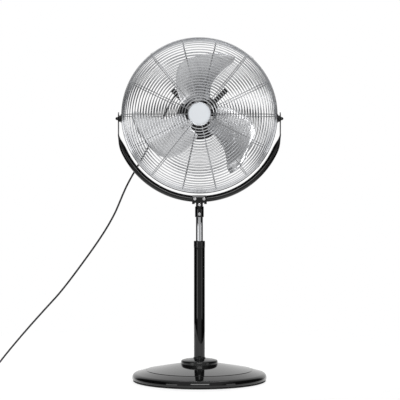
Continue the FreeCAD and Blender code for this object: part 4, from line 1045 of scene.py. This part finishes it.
def axisRing(radius, wire, depth):
    return onAxis(ringShape(radius, wire, max(96, int(radius * 800)), 8), depth)


guard = {"ribs": 14, "wire": 0.0015, "ribWire": 0.0014, "badge": 0.0395, "pitch": 0.0092, "side": 0.261,
    "inset": 0.0030, "lastRing": 18, "rimRadius": 0.26225, "rimWire": 0.00275, "rimDepths": (-0.019, -0.013),
    "front": {"face": -0.092, "round": 0.055, "toward": 1, "ribStart": 0.012, "ribEnd": -0.017, "firstRing": 1,
    "firstSide": 1.0, "straight": 0.008},
    "rear": {"face": 0.0596, "round": 0.049, "toward": -1, "ribStart": 0.0932, "ribEnd": -0.015, "firstRing": 5,
    "firstSide": 0.25, "straight": None}}


def sidePlaces(half):
    middle = half["face"] + half["toward"] * half["round"]
    count = half["firstSide"]
    step = guard["pitch"] / half["round"]
    while count * step < pi / 2:
        turn = count * step
        radius = guard["side"] - half["round"] + half["round"] * sin(turn)
        yield radius, middle - half["toward"] * half["round"] * cos(turn), turn
        count += 1
    if half["straight"]:
        yield guard["side"], middle + half["straight"], pi / 2


def ribLine(half):
    inset = guard["inset"]
    face = half["face"] + half["toward"] * inset
    bend = half["round"] - inset
    centre = guard["side"] - half["round"]
    line = [Vector((half["ribStart"] + (centre - half["ribStart"]) * step / 6, face, 0)) for step in range(6)]
    for step in range(13):
        turn = pi / 2 * step / 12
        line.append(Vector((centre + bend * sin(turn), face + half["toward"] * bend * (1 - cos(turn)), 0)))
    line.append(Vector((guard["side"] - inset, half["ribEnd"], 0)))
    return line


def makeGuard():
    blob = latheShape(inMetres([(0, -1.8), (1.3, -1.1), (1.6, 0), (1.3, 1.1), (0, 1.8)]), 8)
    for side in ("front", "rear"):
        half = guard[side]
        radii = [guard["badge"] + guard["pitch"] * count for count in range(half["firstRing"],
            guard["lastRing"] + 1)]
        makePiece(f"{side}_face_wires", joined(*[axisRing(radius, guard["wire"], half["face"])
            for radius in radii]), f"{side}_guard_rings")
        sides = list(sidePlaces(half))
        makePiece(f"{side}_shoulder_wires", joined(*[axisRing(radius, guard["wire"], depth) for radius, depth,
            turn in sides]), f"{side}_guard_side_rings")
        rib = sweptShape(ribLine(half), circlePlaces(guard["ribWire"], 8), upward=Vector((0, 0, 1)))
        angles = [360 * count / guard["ribs"] for count in range(guard["ribs"])]
        makePiece(f"{side}_rib_wires", joined(*[aroundHead(rib, angle) for angle in angles]),
            f"{side}_guard_ribs", material=finishes["rib_chrome"])
        # Every crossing is spot-welded, and a small nugget stands between the two wires
        nugget = half["toward"] * guard["inset"] / 2
        spots = [(radius, half["face"] + nugget) for radius in radii]
        spots += [(radius - sin(turn) * guard["inset"] / 2, depth + half["toward"] * cos(turn)
            * guard["inset"] / 2) for radius, depth, turn in sides]
        row = joined(*[placed(blob, moved(radius, depth, 0)) for radius, depth in spots])
        makePiece(f"{side}_guard_welds", joined(*[aroundHead(row, angle) for angle in angles]), body="head",
            slot="chrome_wire")
    rims = [axisRing(guard["rimRadius"], guard["rimWire"], depth) for depth in guard["rimDepths"]]
    # The hoops take the near-black chrome colour: a painted dark reflection
    makePiece("rim_hoops", joined(*rims), "rim_rings", material=finishes["dark_reflection_chrome"])

    clip = {"angles": (48, 127, 219, 319), "half": 0.007,
        "outline": inMetres([(259.7, -23.05, 0.5), (266.3, -23.05, 2), (266.3, -8.95, 2), (259.7, -8.95, 0.5),
            (259.7, -10.15), (265.1, -10.15, 1), (265.1, -21.85, 1), (259.7, -21.85)])}
    strap = plateShape(softened(clip["outline"], True, 5), -clip["half"], clip["half"], 0.0002)
    makePiece("rim_clip_straps", joined(*[aroundHead(strap, angle) for angle in clip["angles"]]), "rim_clips")


def makeBadge():
    badge = {"disc": 0.0365, "back": -0.0904, "face": -0.0956, "groove": 0.0315, "bevel": 0.0395}
    thick = badge["back"] - badge["face"]
    corners = [(0, 0), (badge["disc"], 0), (badge["disc"], thick - 0.0014, 0.0004),
        (badge["disc"] - 0.0014, thick, 0.0006), (badge["groove"] + 0.0004, thick),
        (badge["groove"], thick - 0.0003), (badge["groove"] - 0.0004, thick), (0.016, thick), (0, thick)]
    disc = turned(corners, 128, False)
    makePiece("badge_disc", onAxis(disc, badge["back"], turnFront), "badge", sharp=20)
    ring = [(0.0366, 0), (0.0366, 0.0066, 0.0003), (0.0377, 0.0072, 0.0006), (badge["bevel"], 0.0044, 0.0012),
        (badge["bevel"], 0, 0.0004)]
    bezel = turned(ring, 128)
    makePiece("badge_bezel", onAxis(bezel, badge["back"], turnFront), "badge_ring", sharp=24)
    plate = turned(inMetres([(0, 0), (38, 0, 0.4), (38, 1.4, 0.4), (0, 1.4)]), 96, False, 3)
    makePiece("hub_backing_plate", onAxis(plate, -0.086, turnFront), "guard_hub_plate")


blade = {"middle": -0.045, "hollow": 0.0065, "thick": 0.0018, "across": 28, "between": 5,
    "outline": [(46, -33, -2), (52, -38, 20), (60, -41.5, 38), (70, -41, 45), (84, -35.5, 41),
        (106, -32.2, 33.8), (134, -34, 26.5), (163, -37.4, 18.6), (183, -40, 12), (196, -41.8, 2),
        (205, -42.6, -14.5), (216, -42.6, -24.5), (225.5, -41.9, -36)],
    "arm": [(11.5, -28, 24), (24, -22, 20), (45, -15, 15), (78, -11, 11)],
    "angles": {"blade_upper_left": 100, "blade_lower_left": 220, "blade_right": 340},
    "rivets": ((56, 3), (71, -3)), "rivetHead": 0.0042, "slope": 31}


def bladeDepth(radius, angle, share):
    along = (radius - 60) / 165
    pitch = 0.6 + 0.5 * along  # steeper per degree towards the tip
    return blade["middle"] + pitch * (angle - 2 + 28 * along) / 1000 + blade["hollow"] * (1 - share * share)


def headPoint(radius, angle, depth):
    turn = radians(angle)
    return Vector((radius / 1000 * cos(turn), depth, headAxis.z + radius / 1000 * sin(turn)))


def smoothedRows(rows, between):
    # Rows of three numbers, with extra rows between them on a smooth curve through all
    smooth = []
    for index in range(len(rows) - 1):
        a, b, c, d = (Vector(rows[min(max(index + shift, 0), len(rows) - 1)]) for shift in (-1, 0, 1, 2))
        for step in range(between):
            s = step / between
            smooth.append(0.5 * (2 * b + (c - a) * s + (2 * a - 5 * b + 4 * c - d) * s ** 2
                + (3 * b - 3 * c + d - a) * s ** 3))
    return smooth + [Vector(rows[-1])]


def vaneShape(rows, root, shift, hollowed):
    rings = []
    for radius, trailing, leading in smoothedRows(rows, blade["between"]):
        front = []
        back = []
        for step in range(blade["across"] + 1):
            share = 2 * step / blade["across"] - 1
            angle = trailing + (leading - trailing) * step / blade["across"]
            depth = bladeDepth(radius, angle, share if hollowed else 0) + shift
            rim = 0.35 if step in (0, blade["across"]) else 0  # the edge is eased, not square
            front.append(headPoint(radius, root + angle, depth + blade["thick"] * rim))
            back.append(headPoint(radius, root + angle, depth + blade["thick"] * (1 - rim)))
        rings.append(front + list(reversed(back)))
    return loftShape(rings)


def makeBlades():
    shift = blade["hollow"] + 0.002
    for node, root in blade["angles"].items():
        makePiece(node + "_sheet", vaneShape(blade["outline"], root, 0, True), node, sharp=50)
    hub = inMetres([(5.02, -60), (10.5, -60, 0.6), (13, -57.5, 1.2), (13, -30, 1), (11.8, -28.5, 0.6),
        (11.8, -19.5, 0.6), (13, -18, 0.6), (5.02, -18)])
    hub = placed(turned(hub, 72), turnToY, moved(0, 0, headAxis.z))
    arms = [vaneShape(blade["arm"], root, shift, False) for root in blade["angles"].values()]
    makePiece("hub_and_arms", joined(hub, *arms), "hub_spider", sharp=45)
    rivet = [(0, 0.0022)]
    for step in range(1, 7):
        turn = pi / 2 * (1 - step / 6)
        rivet.append((blade["rivetHead"] * cos(turn), 0.0006 + 0.0016 * sin(turn)))
    rivet += [(blade["rivetHead"], 0.0002), (0.0022, 0.0002), (0.0022, -0.0110), (0, -0.0110)]
    rivet = latheShape(rivet, 32)
    rivets = []
    for root in blade["angles"].values():
        for radius, offset in blade["rivets"]:
            turn = radians(root + offset)
            slope = radians(blade["slope"])
            out = Vector((-sin(turn), 0, cos(turn))) * sin(slope) - Vector((0, cos(slope), 0))
            place = headPoint(radius, root + offset, bladeDepth(radius, offset, 0))
            rivets.append(placed(rivet, stoodAt(place, out)))
    makePiece("blade_rivet_heads", joined(*rivets), "blade_rivets")


def makeMotor():
    motor = {"front": inMetres([(6.5, -15), (19.5, -15, 1.2), (19.5, -8, 1.5), (40, -8, 0.8), (41.5, -6.8, 0.6),
        (56, -6.8, 0.6), (57.5, -8, 0.8), (72, -8, 9.5), (72, 48, 0.4), (71.4, 48.6, 0.3), (71.4, 49.4, 0.3),
        (72, 50, 0.4), (72, 55, 0.4), (70, 55), (70, 4), (60, -6), (6.5, -13)]),
        "rear": inMetres([(70, 58), (72, 58, 0.4), (72, 70, 0.4), (71.4, 70.6, 0.3), (71.4, 71.4, 0.3),
            (72, 72, 0.4), (72, 104, 9.5), (50, 104), (50, 102), (62, 102), (70, 92)]),
        "control": inMetres([(60, 104.2), (62, 104.2, 0.3), (62, 107.5, 0.5), (61.2, 108.2, 0.4),
            (61.2, 109.2, 0.4), (62, 110, 0.5), (62, 132, 9), (22, 132, 0.6), (21.2, 131.2, 0.4), (4.5, 131.2),
            (4.5, 130), (52, 130), (60, 122)])}
    for name, node, key in (("motor_front_cup", "motor_front_shell", "front"),
            ("motor_rear_cup", "motor_rear_shell", "rear")):
        shape = turned(motor[key], 144, True, 8)
        makePiece(name, onAxis(shape), node, sharp=24)
    cover = turned(motor["control"], 144, True, 8)
    shapes = [onAxis(cover)]
    dot = turned(inMetres([(0, -0.8), (1.1, -0.8), (1.1, 0, 0.5), (0, 0)]), 16, False, 3)
    for count in range(4):  # raised dots show the dial's four places: off and three speeds
        turn = radians(90 - 45 * count)
        for extra in range(max(1, count)):
            spread = radians(4.5 * (extra - (max(1, count) - 1) / 2))
            place = moved(0.0265 * cos(turn + spread), 0.1326, headAxis.z + 0.0265 * sin(turn + spread))
            if count:
                shapes.append(placed(dot, turnToY, place))
    bar = blockShape((-0.0035, 0.1310, headAxis.z + 0.0257), (0.0035, 0.1326, headAxis.z + 0.0273), 0.0004, 2)
    makePiece("control_housing", joined(*shapes, bar), "control_cover", sharp=24)

    dial = {"radius": 0.016, "near": 0.133, "thick": 0.014, "ridges": 30, "ridge": 0.0005}

    def ridged(radius, angle, height):
        return radius - dial["ridge"] * (0.5 + 0.5 * cos(dial["ridges"] * angle)) if radius > 0.0154 else radius

    corners = [(0, 0), (dial["radius"], 0, 0.0004), (dial["radius"], dial["thick"] - 0.0015),
        (0.0150, dial["thick"], 0.0008), (0.0118, dial["thick"], 0.0006),
        (0.0112, dial["thick"] - 0.0008, 0.0004), (0, dial["thick"] - 0.0008)]
    disc = turned(corners, 240, False, 4, ridged)
    grip = blockShape((-0.0025, 0.1455, headAxis.z - 0.0142), (0.0025, 0.150, headAxis.z + 0.0142), 0.0009, 3)
    stem = latheShape(inMetres([(0, 0), (3, 0), (3, 26), (0, 26)]), 24)
    shapes = [onAxis(disc, dial["near"]), grip, onAxis(stem, 0.109)]
    makePiece("dial_moulding", joined(*shapes), "speed_knob", sharp=30)
    mark = blockShape((-0.0006, 0.1490, headAxis.z + 0.0060), (0.0006, 0.15, headAxis.z + 0.0132), 0.0002, 2)
    makePiece("dial_mark", mark, body="dial", slot="nylon")


def easeKeptNodes():
    # Nodes that keep their own mesh get eased edges
    ease = {"width": 0.0004, "segments": 2, "angle": 40}
    for node in ("pole_flange", "flange_bolts", "motor_bracket", "pivot_lugs", "run_capacitor", "speed_switch",
            "stator_core", "rotor_core", "motor_bolts", "base_weight", "height_screw"):
        kept = frame["nodes"][node]
        kept.modifiers.new("weld", "WELD").merge_threshold = 1e-6
        eased = kept.modifiers.new("ease", "BEVEL")
        eased.width = ease["width"]
        eased.segments = ease["segments"]
        eased.limit_method = "ANGLE"
        eased.angle_limit = radians(ease["angle"])


makeBase()
makePoles()
makeKnob()
print("stand made")
makeNeck()
makeYoke()
print("neck and yoke made")
makeGuard()
makeBadge()
print("guard made")
makeBlades()
makeMotor()
print("blades and motor made")
easeKeptNodes()

with open("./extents.json", "w") as sizeFile:
    json.dump({"cad": [list(corner) for corner in cadBox], "visual": [list(corner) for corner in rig.bounds()]},
        sizeFile)
